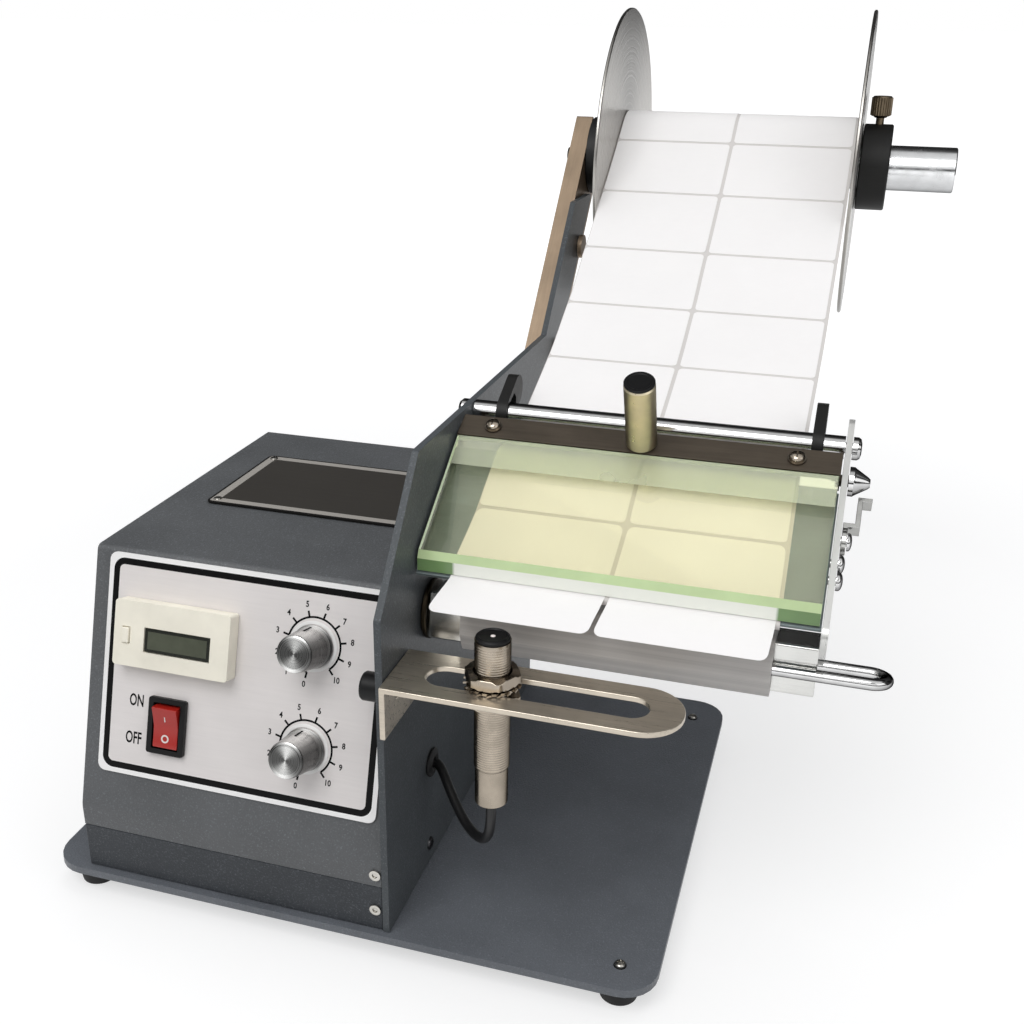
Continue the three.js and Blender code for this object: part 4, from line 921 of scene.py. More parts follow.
class Shape:
    """A mesh in the making, in millimetres unless it is copied from a CAD node."""

    def __init__(self) -> None:
        """Starts empty."""
        self.bm = bmesh.new()

    @classmethod
    def copied(cls, source: bpy.types.Object) -> Shape:
        """Copies a CAD node's mesh, merged and with its flat faces whole.

        Args:
            source: The CAD node.

        Returns:
            The shape, in metres.
        """
        shape = cls()
        shape.bm.from_mesh(source.data)
        shape.merged(2e-6)
        bmesh.ops.dissolve_limit(shape.bm, angle_limit=math.radians(0.6), use_dissolve_boundaries=False,
                                 verts=shape.bm.verts, edges=shape.bm.edges, delimit={"NORMAL"})
        return shape

    @classmethod
    def block(cls, low: Point, high: Point) -> Shape:
        """Makes a block from its lowest to its highest corner.

        Args:
            low: The lowest corner.
            high: The highest corner.

        Returns:
            The shape.
        """
        shape = cls()
        first, last = Vector(low), Vector(high)
        spot = Matrix.Translation((first + last) / 2) @ Matrix.Diagonal((*(last - first), 1))
        bmesh.ops.create_cube(shape.bm, size=1.0, matrix=spot)
        return shape

    @classmethod
    def drum(cls, radius: float, start: Point, end: Point, steps: int) -> Shape:
        """Makes a cylinder.

        Args:
            radius: Its radius.
            start: The middle of one end.
            end: The middle of the other end.
            steps: The number of flat sides.

        Returns:
            The shape.
        """
        shape = cls()
        first, last = Vector(start), Vector(end)
        spot = Matrix.Translation((first + last) / 2) @ (
            (last - first).to_track_quat("Z", "Y").to_matrix().to_4x4())
        bmesh.ops.create_cone(shape.bm, cap_ends=True, cap_tris=False, segments=steps, radius1=radius,
                              radius2=radius, depth=(last - first).length, matrix=spot)
        return shape

    @classmethod
    def turned(cls, profile: Profile, steps: int = 64) -> Shape:
        """Spins a profile of radius and height round the Z axis.

        Args:
            profile: The profile; it is a ring if its ends meet.
            steps: The number of steps in the turn.

        Returns:
            The shape.
        """
        shape = cls()
        looped = profile[0] == profile[-1]
        points = [shape.bm.verts.new((radius, 0, height))
                  for radius, height in (profile[:-1] if looped else profile)]
        pairs = list(zip(points, points[1:])) + ([(points[-1], points[0])] if looped else [])
        edges = [shape.bm.edges.new(pair) for pair in pairs]
        bmesh.ops.spin(shape.bm, geom=[*points, *edges], cent=(0, 0, 0), axis=(0, 0, 1), angle=TURN,
                       steps=steps, use_merge=True, use_duplicate=False)
        shape.merged(1e-4)
        bmesh.ops.dissolve_degenerate(shape.bm, dist=1e-5, edges=shape.bm.edges)
        return shape.outward()

    @classmethod
    def slab(cls, corners: Sequence[Point], low: float, high: float, round_: float = 0.0,
             steps: int = 6) -> Shape:
        """Pushes an outline in X and Y up from one height to another.

        Args:
            corners: The outline's corners.
            low: The height it starts at.
            high: The height it ends at.
            round_: The rounding of its corners.
            steps: The steps of that rounding.

        Returns:
            The shape.
        """
        shape = cls()
        points = [shape.bm.verts.new((x, y, low)) for x, y in corners]
        shape.bm.faces.new(points)
        if round_:
            bmesh.ops.bevel(shape.bm, geom=points, offset=round_, segments=steps, profile=0.5,
                            affect="VERTICES", material=-1, clamp_overlap=True)
        return shape.raised(high - low).outward()

    @classmethod
    def lettering(cls, text: str, height: float, thickness: float, squeeze: float = 1.0,
                  weight: float = 0.0) -> Shape:
        """Makes raised lettering round the origin, read from +Z.

        Args:
            text: The letters.
            height: The size of the type.
            thickness: How far it stands out.
            squeeze: Its width, as a share of the usual one.
            weight: How much each stroke is widened.

        Returns:
            The shape.
        """
        curve = bpy.data.curves.new("lettering", "FONT")
        curve.body = text
        curve.size = height
        curve.align_x = "CENTER"
        curve.align_y = "CENTER"
        curve.extrude = thickness / 2
        curve.offset = weight
        curve.resolution_u = 3
        return cls.of_curve(curve).moved(
            Matrix.Translation((0, 0, thickness / 2)) @ Matrix.Diagonal((squeeze, 1, 1, 1)))

    @classmethod
    def wire(cls, points: Sequence[Point], radius: float) -> Shape:
        """Makes a round wire along points.

        Args:
            points: Its centre line.
            radius: Its radius.

        Returns:
            The shape.
        """
        return cls.of_curve(round_curve("wire", "POLY", points, radius, 5)[0]).outward()

    @classmethod
    def of_curve(cls, curve: bpy.types.Curve) -> Shape:
        """Makes a shape of a curve, which is used up.

        Args:
            curve: The curve.

        Returns:
            The shape.
        """
        holder = bpy.data.objects.new("passing", curve)
        mesh = bpy.data.meshes.new_from_object(holder)
        shape = cls()
        shape.bm.from_mesh(mesh)
        bpy.data.objects.remove(holder)
        bpy.data.curves.remove(curve)
        bpy.data.meshes.remove(mesh)
        return shape.merged(1e-5)

    def merged(self, distance: float) -> Shape:
        """Merges the corners that lie on one another and returns this shape."""
        bmesh.ops.remove_doubles(self.bm, verts=self.bm.verts, dist=distance)
        return self

    def outward(self) -> Shape:
        """Turns the faces outwards and returns this shape."""
        bmesh.ops.recalc_face_normals(self.bm, faces=self.bm.faces)
        return self

    def raised(self, height: float) -> Shape:
        """Pushes the flat faces up to a solid.

        Args:
            height: The height of the solid.

        Returns:
            This shape.
        """
        grown = bmesh.ops.extrude_face_region(self.bm, geom=list(self.bm.faces))
        moved = [part for part in grown["geom"] if isinstance(part, bmesh.types.BMVert)]
        bmesh.ops.translate(self.bm, verts=moved, vec=(0, 0, height))
        return self

    def lying(self, x: float, y: float, z: float) -> Shape:
        """Lays a shape that was made round Z along X at a place, and returns it."""
        return self.moved(Matrix.Translation((x, y, z)) @ ALONG_X)

    def moved(self, place: Matrix) -> Shape:
        """Moves the whole shape and returns it."""
        bmesh.ops.transform(self.bm, matrix=place, verts=self.bm.verts)
        return self

    def at(self, x: float = 0.0, y: float = 0.0, z: float = 0.0) -> Shape:
        """Shifts the whole shape and returns it."""
        return self.moved(Matrix.Translation((x, y, z)))

    def plus(self, *others: Shape) -> Shape:
        """Takes in other shapes.

        Args:
            others: The shapes, used up here.

        Returns:
            This shape.
        """
        for other in others:
            passing = bpy.data.meshes.new("passing")
            other.bm.to_mesh(passing)
            other.bm.free()
            self.bm.from_mesh(passing)
            bpy.data.meshes.remove(passing)
        return self

    def soften(self, width: float, segments: int = 2, angle: float = 30.0) -> Shape:
        """Rounds the edges that turn by more than an angle.

        Args:
            width: The rounding.
            segments: Its steps.
            angle: The angle in degrees.

        Returns:
            This shape.
        """
        sharp = [edge for edge in self.bm.edges
                 if len(edge.link_faces) == 2 and edge.calc_face_angle(0.0) > math.radians(angle)]
        bmesh.ops.bevel(self.bm, geom=sharp, offset=width, segments=segments, profile=0.5,
                        affect="EDGES", material=-1, clamp_overlap=True, miter_outer="ARC")
        return self

    def banded(self, cuts: Sequence[float]) -> Shape:
        """Cuts the faces across Y at each place.

        Args:
            cuts: The places along Y.

        Returns:
            This shape.
        """
        for cut in cuts:
            bmesh.ops.bisect_plane(self.bm, geom=[*self.bm.verts, *self.bm.edges, *self.bm.faces],
                                   plane_co=(0, cut, 0), plane_no=(0, 1, 0), dist=1e-4)
        return self

    def bent(self, rule: Callable[[Vector], Vector]) -> Shape:
        """Moves each corner by a rule.

        Args:
            rule: Gives a corner's new place.

        Returns:
            This shape.
        """
        for corner in self.bm.verts:
            corner.co = rule(corner.co)
        return self.outward()

    def mesh(self, name: str, place: Matrix) -> bpy.types.Mesh:
        """Gives the finished mesh in the row frame; the shape is used up.

        Args:
            name: The mesh's name.
            place: The frame that the shape is in.

        Returns:
            The mesh, shaded smooth.
        """
        self.moved(place)
        made = bpy.data.meshes.new(name)
        self.bm.to_mesh(made)
        self.bm.free()
        made.shade_smooth()
        return made


def ring(inner: float, outer: float, low: float, high: float, steps: int = 64) -> Shape:
    """Makes a flat ring round the Z axis from its two radii and two heights."""
    return Shape.turned([(inner, low), (outer, low), (outer, high), (inner, high), (inner, low)], steps)


def arc_bar(inner: float, outer: float, low: float, high: float, start: float, sweep: float,
            steps: int = 72) -> Shape:
    """Makes a flat bar that runs along an arc round the Z axis.

    Args:
        inner: Its inner radius.
        outer: Its outer radius.
        low: The height it starts at.
        high: The height it ends at.
        start: The angle it starts at.
        sweep: The angle it runs over.
        steps: The steps of the arc.

    Returns:
        The shape.
    """
    shape = Shape()
    corners = [shape.bm.verts.new((x, 0, z)) for x, z in ((inner, low), (outer, low), (outer, high),
                                                          (inner, high))]
    shape.bm.faces.new(corners)
    bmesh.ops.spin(shape.bm, geom=[*shape.bm.verts, *shape.bm.edges, *shape.bm.faces], cent=(0, 0, 0),
                   axis=(0, 0, 1), angle=sweep, steps=steps, use_merge=False, use_duplicate=False)
    return shape.outward().moved(Matrix.Rotation(start, 4, "Z"))


def hex_nut(flats: float, bore: float, low: float, high: float) -> Shape:
    """Makes a hexagon nut on the Z axis with its corners turned down.

    Args:
        flats: The width across flats.
        bore: The radius of its hole.
        low: The height it starts at.
        high: The height it ends at.

    Returns:
        The shape.
    """
    radius = flats / 2 / math.cos(TURN / 12)
    shape = Shape()
    outer = bmesh.ops.create_circle(shape.bm, cap_ends=False, radius=radius, segments=48)["verts"]
    for corner in outer:
        angle = math.atan2(corner.co.y, corner.co.x) % (TURN / 6) - TURN / 12
        corner.co *= min(flats / 2 / math.cos(angle), radius * 0.985) / radius
    bmesh.ops.create_circle(shape.bm, cap_ends=False, radius=bore, segments=48)
    bmesh.ops.bridge_loops(shape.bm, edges=list(shape.bm.edges))
    shape.raised(high - low)
    chamfer = min((high - low) * 0.16, 0.8)
    for corner in shape.bm.verts:
        if corner.co.xy.length > flats / 2 * 1.04:
            corner.co.z += -chamfer if corner.co.z > (high - low) / 2 else chamfer
    return shape.outward().at(z=low)


def pan_head(radius: float, height: float, foot: float = 0.0, slots: int = 2) -> Shape:
    """Makes a screw's domed head on the Z axis, with a cross or a slot cut in it.

    Args:
        radius: The head's radius.
        height: The head's height.
        foot: The height that it sits at.
        slots: 2 for a cross, 1 for a slot.

    Returns:
        The shape.
    """
    profile = [(0.0, 0.0), (radius, 0.0), (radius, height * 0.35)]
    for step in range(1, 6):
        angle = TURN / 4 * step / 6
        profile.append((radius * math.cos(angle), height * (0.35 + 0.65 * math.sin(angle))))
    profile.append((0.0, height))
    head = Shape.turned(profile, 32)
    for turn in range(slots):
        groove = Shape.block((-radius * 0.62, -radius * 0.09, height * 0.62),
                             (radius * 0.62, radius * 0.09, height * 1.2))
        groove.moved(Matrix.Rotation(TURN / 4 * turn, 4, "Z"))
        head = carved(head, groove)
    return head.at(z=foot)


def carved(body: Shape, tool: Shape) -> Shape:
    """Takes a tool's volume out of a body.

    Args:
        body: The shape that is cut, used up here.
        tool: The shape that cuts, used up here.

    Returns:
        What is left.
    """
    objects = []
    for name, shape in (("carve_body", body), ("carve_tool", tool)):
        mesh = bpy.data.meshes.new(name)
        shape.bm.to_mesh(mesh)
        shape.bm.free()
        objects.append(placed(name, mesh))
    cut = objects[0].modifiers.new("carve", "BOOLEAN")
    cut.operation = "DIFFERENCE"
    cut.solver = "EXACT"
    cut.object = objects[1]
    seen = bpy.context.evaluated_depsgraph_get()
    mesh = bpy.data.meshes.new_from_object(objects[0].evaluated_get(seen))
    left = Shape()
    left.bm.from_mesh(mesh)
    for holder in objects:
        data = holder.data
        bpy.data.objects.remove(holder)
        bpy.data.meshes.remove(data)
    bpy.data.meshes.remove(mesh)
    return left.merged(1e-4)


# Camera, light and floor


@dataclass(frozen=True)
class Lamp:
    """A soft square lamp: its place, its aim and its side in metres, and its power in watts."""

    name: str
    place: Place
    aim: Place
    size: float
    power: float
    mirrored: bool = True


@dataclass
class Studio:
    """Camera at the photograph's viewing angle, soft lamps, white surroundings and a pale floor."""

    eye: Place = (132.784, -314.459, 303.131)
    pitch: float = -0.409
    roll: float = -0.01
    heading: float = 0.296
    focal_pixels: float = 1212.04
    centre_pixels: Pair = (490.21, 537.057)
    floor_size: float = 60.0
    floor_grey: float = 0.5
    floor_roughness: float = 0.9
    floor_shine: float = 0.1
    glow_reach: Pair = (0.35, 1.3)
    glow_level: Pair = (0.58, 0.9)
    sky: tuple[Pair, ...] = (
        (0.0, 0.75), (0.47, 0.8), (0.5, 0.06), (0.59, 0.06), (0.62, 0.85), (0.8, 1.0), (0.83, 0.12),
        (0.87, 0.12), (0.9, 0.9), (1.0, 0.8))
    behind_reach: Pair = (0.1, 0.35)
    dark_behind: float = 0.08
    world: Place = (0.45, 0.455, 0.465)
    lamps: tuple[Lamp, ...] = (
        Lamp("key_lamp", (-0.15, -0.85, 1.1), (0.0, 0.0, 0.12), 0.7, 6.7),
        Lamp("fill_lamp", (0.95, -0.55, 0.8), (0.0, 0.0, 0.12), 0.8, 1.4),
        Lamp("top_lamp", (0.1, 0.25, 1.3), (0.0, 0.0, 0.1), 0.9, 3.4, mirrored=False))
    flags: dict[str, tuple[Point, Point]] = field(default_factory=lambda: {
        "left_flag": ((-1.25, -0.9, 0.0), (-1.24, -0.2, 1.0)),
        "right_flag": ((1.25, -0.2, 0.0), (1.26, 0.9, 1.0))})
    flag_grey: float = 0.02

    def camera(self, bench: Bench) -> None:
        """Sets the camera up.

        Args:
            bench: The machine's frames.
        """
        data = bpy.data.cameras.new("studio_camera")
        data.sensor_width = SENSOR_WIDTH
        data.lens = self.focal_pixels / IMAGE * SENSOR_WIDTH
        data.shift_x = (IMAGE / 2 - self.centre_pixels[0]) / IMAGE
        data.shift_y = (self.centre_pixels[1] - IMAGE / 2) / IMAGE
        data.clip_start = 0.01
        camera = placed("studio_camera", data)
        level = (Matrix.Rotation(self.heading, 4, "Z") @ Matrix.Rotation(self.pitch, 4, "X")
                 @ Matrix.Rotation(self.roll, 4, "Y"))
        camera.matrix_world = (Matrix.Translation(bench.machine @ Vector(self.eye)) @ level
                               @ Matrix.Rotation(TURN / 4, 4, "X"))
        bpy.context.scene.camera = camera

    @staticmethod
    def hang(lamp: Lamp) -> None:
        """Hangs one soft lamp.

        Args:
            lamp: The lamp.
        """
        data = bpy.data.lights.new(lamp.name, "AREA")
        data.size = lamp.size
        data.energy = lamp.power
        light = placed(lamp.name, data)
        light.visible_glossy = lamp.mirrored
        gaze = (Vector(lamp.aim) - Vector(lamp.place)).to_track_quat("-Z", "Y")
        light.matrix_world = Matrix.Translation(lamp.place) @ gaze.to_matrix().to_4x4()

    def surroundings(self) -> None:
        """Builds the white world, with a darker band low down that metal shows."""
        world = bpy.data.worlds.new("studio_world")
        bpy.context.scene.world = world
        world.use_nodes = True
        desk = NodeDesk(world.node_tree)
        back = world.node_tree.nodes["Background"]
        direction = desk.add("ShaderNodeTexCoord").outputs["Generated"]
        parts = desk.add("ShaderNodeSeparateXYZ", {"Vector": direction})
        ramp = desk.add("ShaderNodeValToRGB", {"Fac": desk.spread(parts.outputs["Z"], -1.0, 1.0)})
        while len(ramp.color_ramp.elements) < len(self.sky):
            ramp.color_ramp.elements.new(0.5)
        for element, (place, level) in zip(ramp.color_ramp.elements, self.sky):
            element.position = place
            element.color = grey(level)
        rays = desk.add("ShaderNodeLightPath")
        seen = desk.math("MAXIMUM", rays.outputs["Is Camera Ray"], rays.outputs["Is Transmission Ray"])
        behind = desk.spread(parts.outputs["Y"], *self.behind_reach, 1.0, self.dark_behind)
        mirrored = desk.blend(behind, grey(0.0), ramp.outputs["Color"])
        glossy = desk.blend(rays.outputs["Is Glossy Ray"], (*self.world, 1.0), mirrored)
        desk.feed(back, "Color", desk.blend(seen, glossy, grey(1.0)))
        back.inputs["Strength"].default_value = 1.0

    def floor(self) -> None:
        """Lays the pale floor, which keeps the object's shadow."""
        shape = Shape()
        bmesh.ops.create_grid(shape.bm, x_segments=1, y_segments=1, size=self.floor_size / 2)
        floor = placed("studio_floor", shape.mesh("studio_floor", Matrix()))
        made = bpy.data.materials.new("studio_floor")
        made.use_nodes = True
        desk = NodeDesk(made.node_tree)
        shader = made.node_tree.nodes["Principled BSDF"]
        shader.inputs["Base Color"].default_value = grey(self.floor_grey)
        shader.inputs["Roughness"].default_value = self.floor_roughness
        shader.inputs["Specular IOR Level"].default_value = self.floor_shine
        rays = desk.add("ShaderNodeLightPath")
        seen = desk.math("MAXIMUM", rays.outputs["Is Camera Ray"], desk.math(
            "MAXIMUM", rays.outputs["Is Glossy Ray"], rays.outputs["Is Transmission Ray"]))
        coords = desk.add("ShaderNodeTexCoord").outputs["Object"]
        reach = desk.vector("LENGTH", coords).outputs["Value"]
        level = desk.spread(reach, *self.glow_reach, *self.glow_level)
        glow = desk.add("ShaderNodeEmission", {"Color": grey(1.0),
                                               "Strength": desk.math("MULTIPLY", seen, level)})
        both = desk.add("ShaderNodeAddShader", {0: shader.outputs[0], 1: glow.outputs[0]})
        desk.feed(made.node_tree.nodes["Material Output"], "Surface", both.outputs[0])
        floor.data.materials.append(made)

    def flag(self, name: str, low: Point, high: Point) -> None:
        """Stands a dark card beside the machine that only metal and glass reflect.

        Args:
            name: The card's name.
            low: Its lowest corner, in metres.
            high: Its highest corner, in metres.
        """
        card = placed(name, Shape.block(low, high).mesh(name, Matrix()))
        made = bpy.data.materials.new(name)
        made.use_nodes = True
        made.node_tree.nodes["Principled BSDF"].inputs["Base Color"].default_value = grey(self.flag_grey)
        card.data.materials.append(made)
        card.visible_camera = card.visible_diffuse = card.visible_shadow = False
        card.visible_transmission = False

    def set_up(self, bench: Bench) -> None:
        """Sets up everything but the object.

        Args:
            bench: The machine's frames.
        """
        self.camera(bench)
        self.surroundings()
        self.floor()
        for lamp in self.lamps:
            self.hang(lamp)
        for name, (low, high) in self.flags.items():
            self.flag(name, low, high)
        log.info("studio is up")


# The machine


@dataclass
class Assembly:
    """A sub-assembly of the machine, built from the bench's frames."""

    bench: Bench

    def build(self) -> None:
        """Builds its pieces."""
        raise NotImplementedError

    def fit(self, shape: Shape, name: str, finish: Finish, body: str, slot: str, nodes: Sequence[str] = (),
            smooth: float = 32.0, place: Matrix | None = None) -> bpy.types.Object:
        """Turns a shape into a finished piece on its body.

        Args:
            shape: The shape, used up here.
            name: The piece's name.
            finish: Its surface.
            body: The CAD body that it moves with.
            slot: The record's material slot; not used.
            nodes: The CAD nodes that it stands for.
            smooth: The widest angle in degrees that is shaded smooth.
            place: The frame that the shape is in, if it isn't the machine's.

        Returns:
            The piece.
        """
        mesh = shape.mesh(name, place or self.bench.machine)
        mesh.set_sharp_from_angle(angle=math.radians(smooth))
        mesh.materials.append(self.bench.shop.material(finish))
        piece = placed(name, mesh)
        flat = piece.modifiers.new("flat_faces", "WEIGHTED_NORMAL")
        flat.keep_sharp = True
        flat.weight = 70
        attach(piece, body)
        if nodes:
            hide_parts(*nodes)
        log.info("%s rides on %s, %d faces", name, body, len(mesh.polygons))
        return piece

    def soften(self, node: str, finish: Finish, slot: str, width: float, segments: int = 2,
               rule: Callable[[Vector], Vector] | None = None,
               place: Matrix | None = None) -> bpy.types.Object:
        """Copies a CAD node with its edges rounded, to stand for it.

        Args:
            node: The CAD node.
            finish: Its surface.
            slot: The record's material slot.
            width: The rounding, in millimetres; 0 leaves the edges as they are.
            segments: The steps of the rounding.
            rule: Moves each corner, if the dressed piece differs a little.
            place: The frame that the rule works in.

        Returns:
            The piece.
        """
        shape = Shape.copied(self.bench.nodes[node])
        if rule and place:
            shape.moved(place.inverted()).bent(rule).moved(place)
        if width:
            shape.soften(width * MM, segments, angle=26.0)
        body = next(body for body, members in self.bench.bodies.items() if node in members)
        return self.fit(shape, f"{node}_dressed", finish, body, slot, [node], place=Matrix())


@dataclass
class SensorCable(Assembly):
    """Black lead from the sensor's foot round into the hole in the side plate."""

    radius: float = 1.8
    route: tuple[Place, ...] = (
        (34.5, 12, 58.2), (34.5, 12.1, 53), (34.1, 12.8, 47.5), (32.9, 14.6, 42), (30.6, 17.6, 37.4),
        (27.2, 21.6, 34.2), (23, 26, 33), (18.6, 30.4, 33.8), (14.2, 35, 36.2), (10.4, 39, 39.2),
        (7.4, 42.4, 41.7), (4.9, 45.4, 43.3), (2.8, 47.1, 43.95), (1.2, 47.3, 44), (-0.4, 47.3, 44),
    )

    def build(self) -> None:
        points = [self.bench.machine @ Vector(point) for point in self.route]
        curve, line = round_curve("sensor_lead", "NURBS", points, self.radius * MM, 5)
        curve.resolution_u = 4
        line.order_u = 3
        line.use_endpoint_u = True
        curve.materials.append(self.bench.shop.material(CABLE_RUBBER))
        lead = placed("sensor_lead", curve)
        length = sum((b - a).length for a, b in zip(points, points[1:]))
        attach(lead, "base")
        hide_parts("sensor_cable")
        tuple(points[0])
        log.info("sensor_lead is %.1f mm long", length / MM)


@dataclass
class Chassis(Assembly):
    """Base plate with its feet, and the box's skirt and cover."""

    pad: Profile = (
        (0, -12.5), (2.6, -12.5), (3.2, -11.4), (4.4, -11.4), (4.9, -12.5), (6.2, -12.5),
        (6.7, -12.1), (7.9, -4.2), (7.6, -3.5), (2, -3.5), (2, 0.3), (0, 0.3))
    pad_screw: Place = (1.9, 1.1, 0.3)
    feet: dict[str, Pair] = field(default_factory=lambda: {
        "front_left": (-126.9, 12.0), "front_right": (81.9, 12.0),
        "rear_left": (-126.9, 181.0), "rear_right": (81.9, 181.0)})
    skirt_screws: tuple[Place, ...] = ((-5.0, 2.9, 24.2), (-5.3, 2.9, 9.0))
    skirt_screw: Place = (0.9, 2.2, 0.9)
    side_screws: tuple[Pair, ...] = ((22.0, 12.0), (150.0, 12.0))
    side_screw: Pair = (2.9, 1.3)
    side: float = -123.6

    def build(self) -> None:
        """Builds the chassis."""
        self.soften("base_plate", HAMMERED_BASE, "hammered", 0.5)
        self.soften("chassis_tray", SKIRT_SLATE_SHADED, "hammered", 0.3)
        self.soften("housing_cover", HAMMERED, "hammered", 0.45)
        self.stand()
        self.fasten()

    def stand(self) -> None:
        """Builds the feet and the heads of their screws."""
        for place, (x, y) in self.feet.items():
            foot = Shape.turned(self.pad, 40).at(x, y)
            self.fit(foot, f"foot_{place}_pad", RUBBER, "base", "foot_rubber", [f"foot_{place}"])
            head = pan_head(*self.pad_screw).at(x, y)
            self.fit(head, f"foot_{place}_screw", SCREW_STEEL, "base", "steel")

    def fasten(self) -> None:
        """Puts the screws in the skirt's front and its open side."""
        heads = Shape()
        bore, radius, height = self.skirt_screw
        for x, y, z in self.skirt_screws:
            face = Matrix.Translation((x, y, z)) @ Matrix.Rotation(TURN / 4, 4, "X")
            heads.plus(ring(bore, radius, 0.0, height, 32).soften(0.3).moved(face),
                       Shape.drum(bore, (0, 0, 0), (0, 0, 0.35), 6).moved(face))
        self.fit(heads, "skirt_screws", SCREW_STEEL, "base", "steel")
        side = Shape()
        for y, z in self.side_screws:
            face = Matrix.Translation((self.side, y, z)) @ Matrix.Rotation(-TURN / 4, 4, "Y")
            side.plus(pan_head(*self.side_screw).moved(face))
        self.fit(side, "side_screws", DARK_SCREW, "base", "steel")


@dataclass
class TopPlate(Assembly):
    """Dark plate on the box with a bright border and a rivet in each corner."""

    low: Pair = (-106.5, 81.0)
    high: Pair = (-16.5, 138.0)
    foot: float = 122.7
    thickness: float = 0.8
    rivet_inset: float = 3.6
    rivet: Pair = (1.7, 0.7)

    def build(self) -> None:
        """Builds the plate, its raised border and its rivets."""
        middle = self.bench.machine @ Vector(((self.low[0] + self.high[0]) / 2,
                                              (self.low[1] + self.high[1]) / 2, self.foot))
        half = ((self.high[0] - self.low[0]) / 2 * MM, (self.high[1] - self.low[1]) / 2 * MM, 0.0)
        finish = PrintedSheet("top_plate_print", (74, 71, 67), 0.35, centre=tuple(middle), half=half,
                              corner=0.0022, inset=0.0011, line_width=0.0034, line=(160, 156, 150),
                              margin=(34, 33, 32), metallic=0.35)
        self.soften("top_plate", finish, "black_plastic", 0.2)
        rivets = Shape()
        top = self.foot + self.thickness
        for x in (self.low[0] + self.rivet_inset, self.high[0] - self.rivet_inset):
            for y in (self.low[1] + self.rivet_inset, self.high[1] - self.rivet_inset):
                rivets.plus(pan_head(*self.rivet, slots=0).at(x, y, top))
        self.fit(rivets, "top_plate_rivets", SCREW_STEEL, "base", "steel")


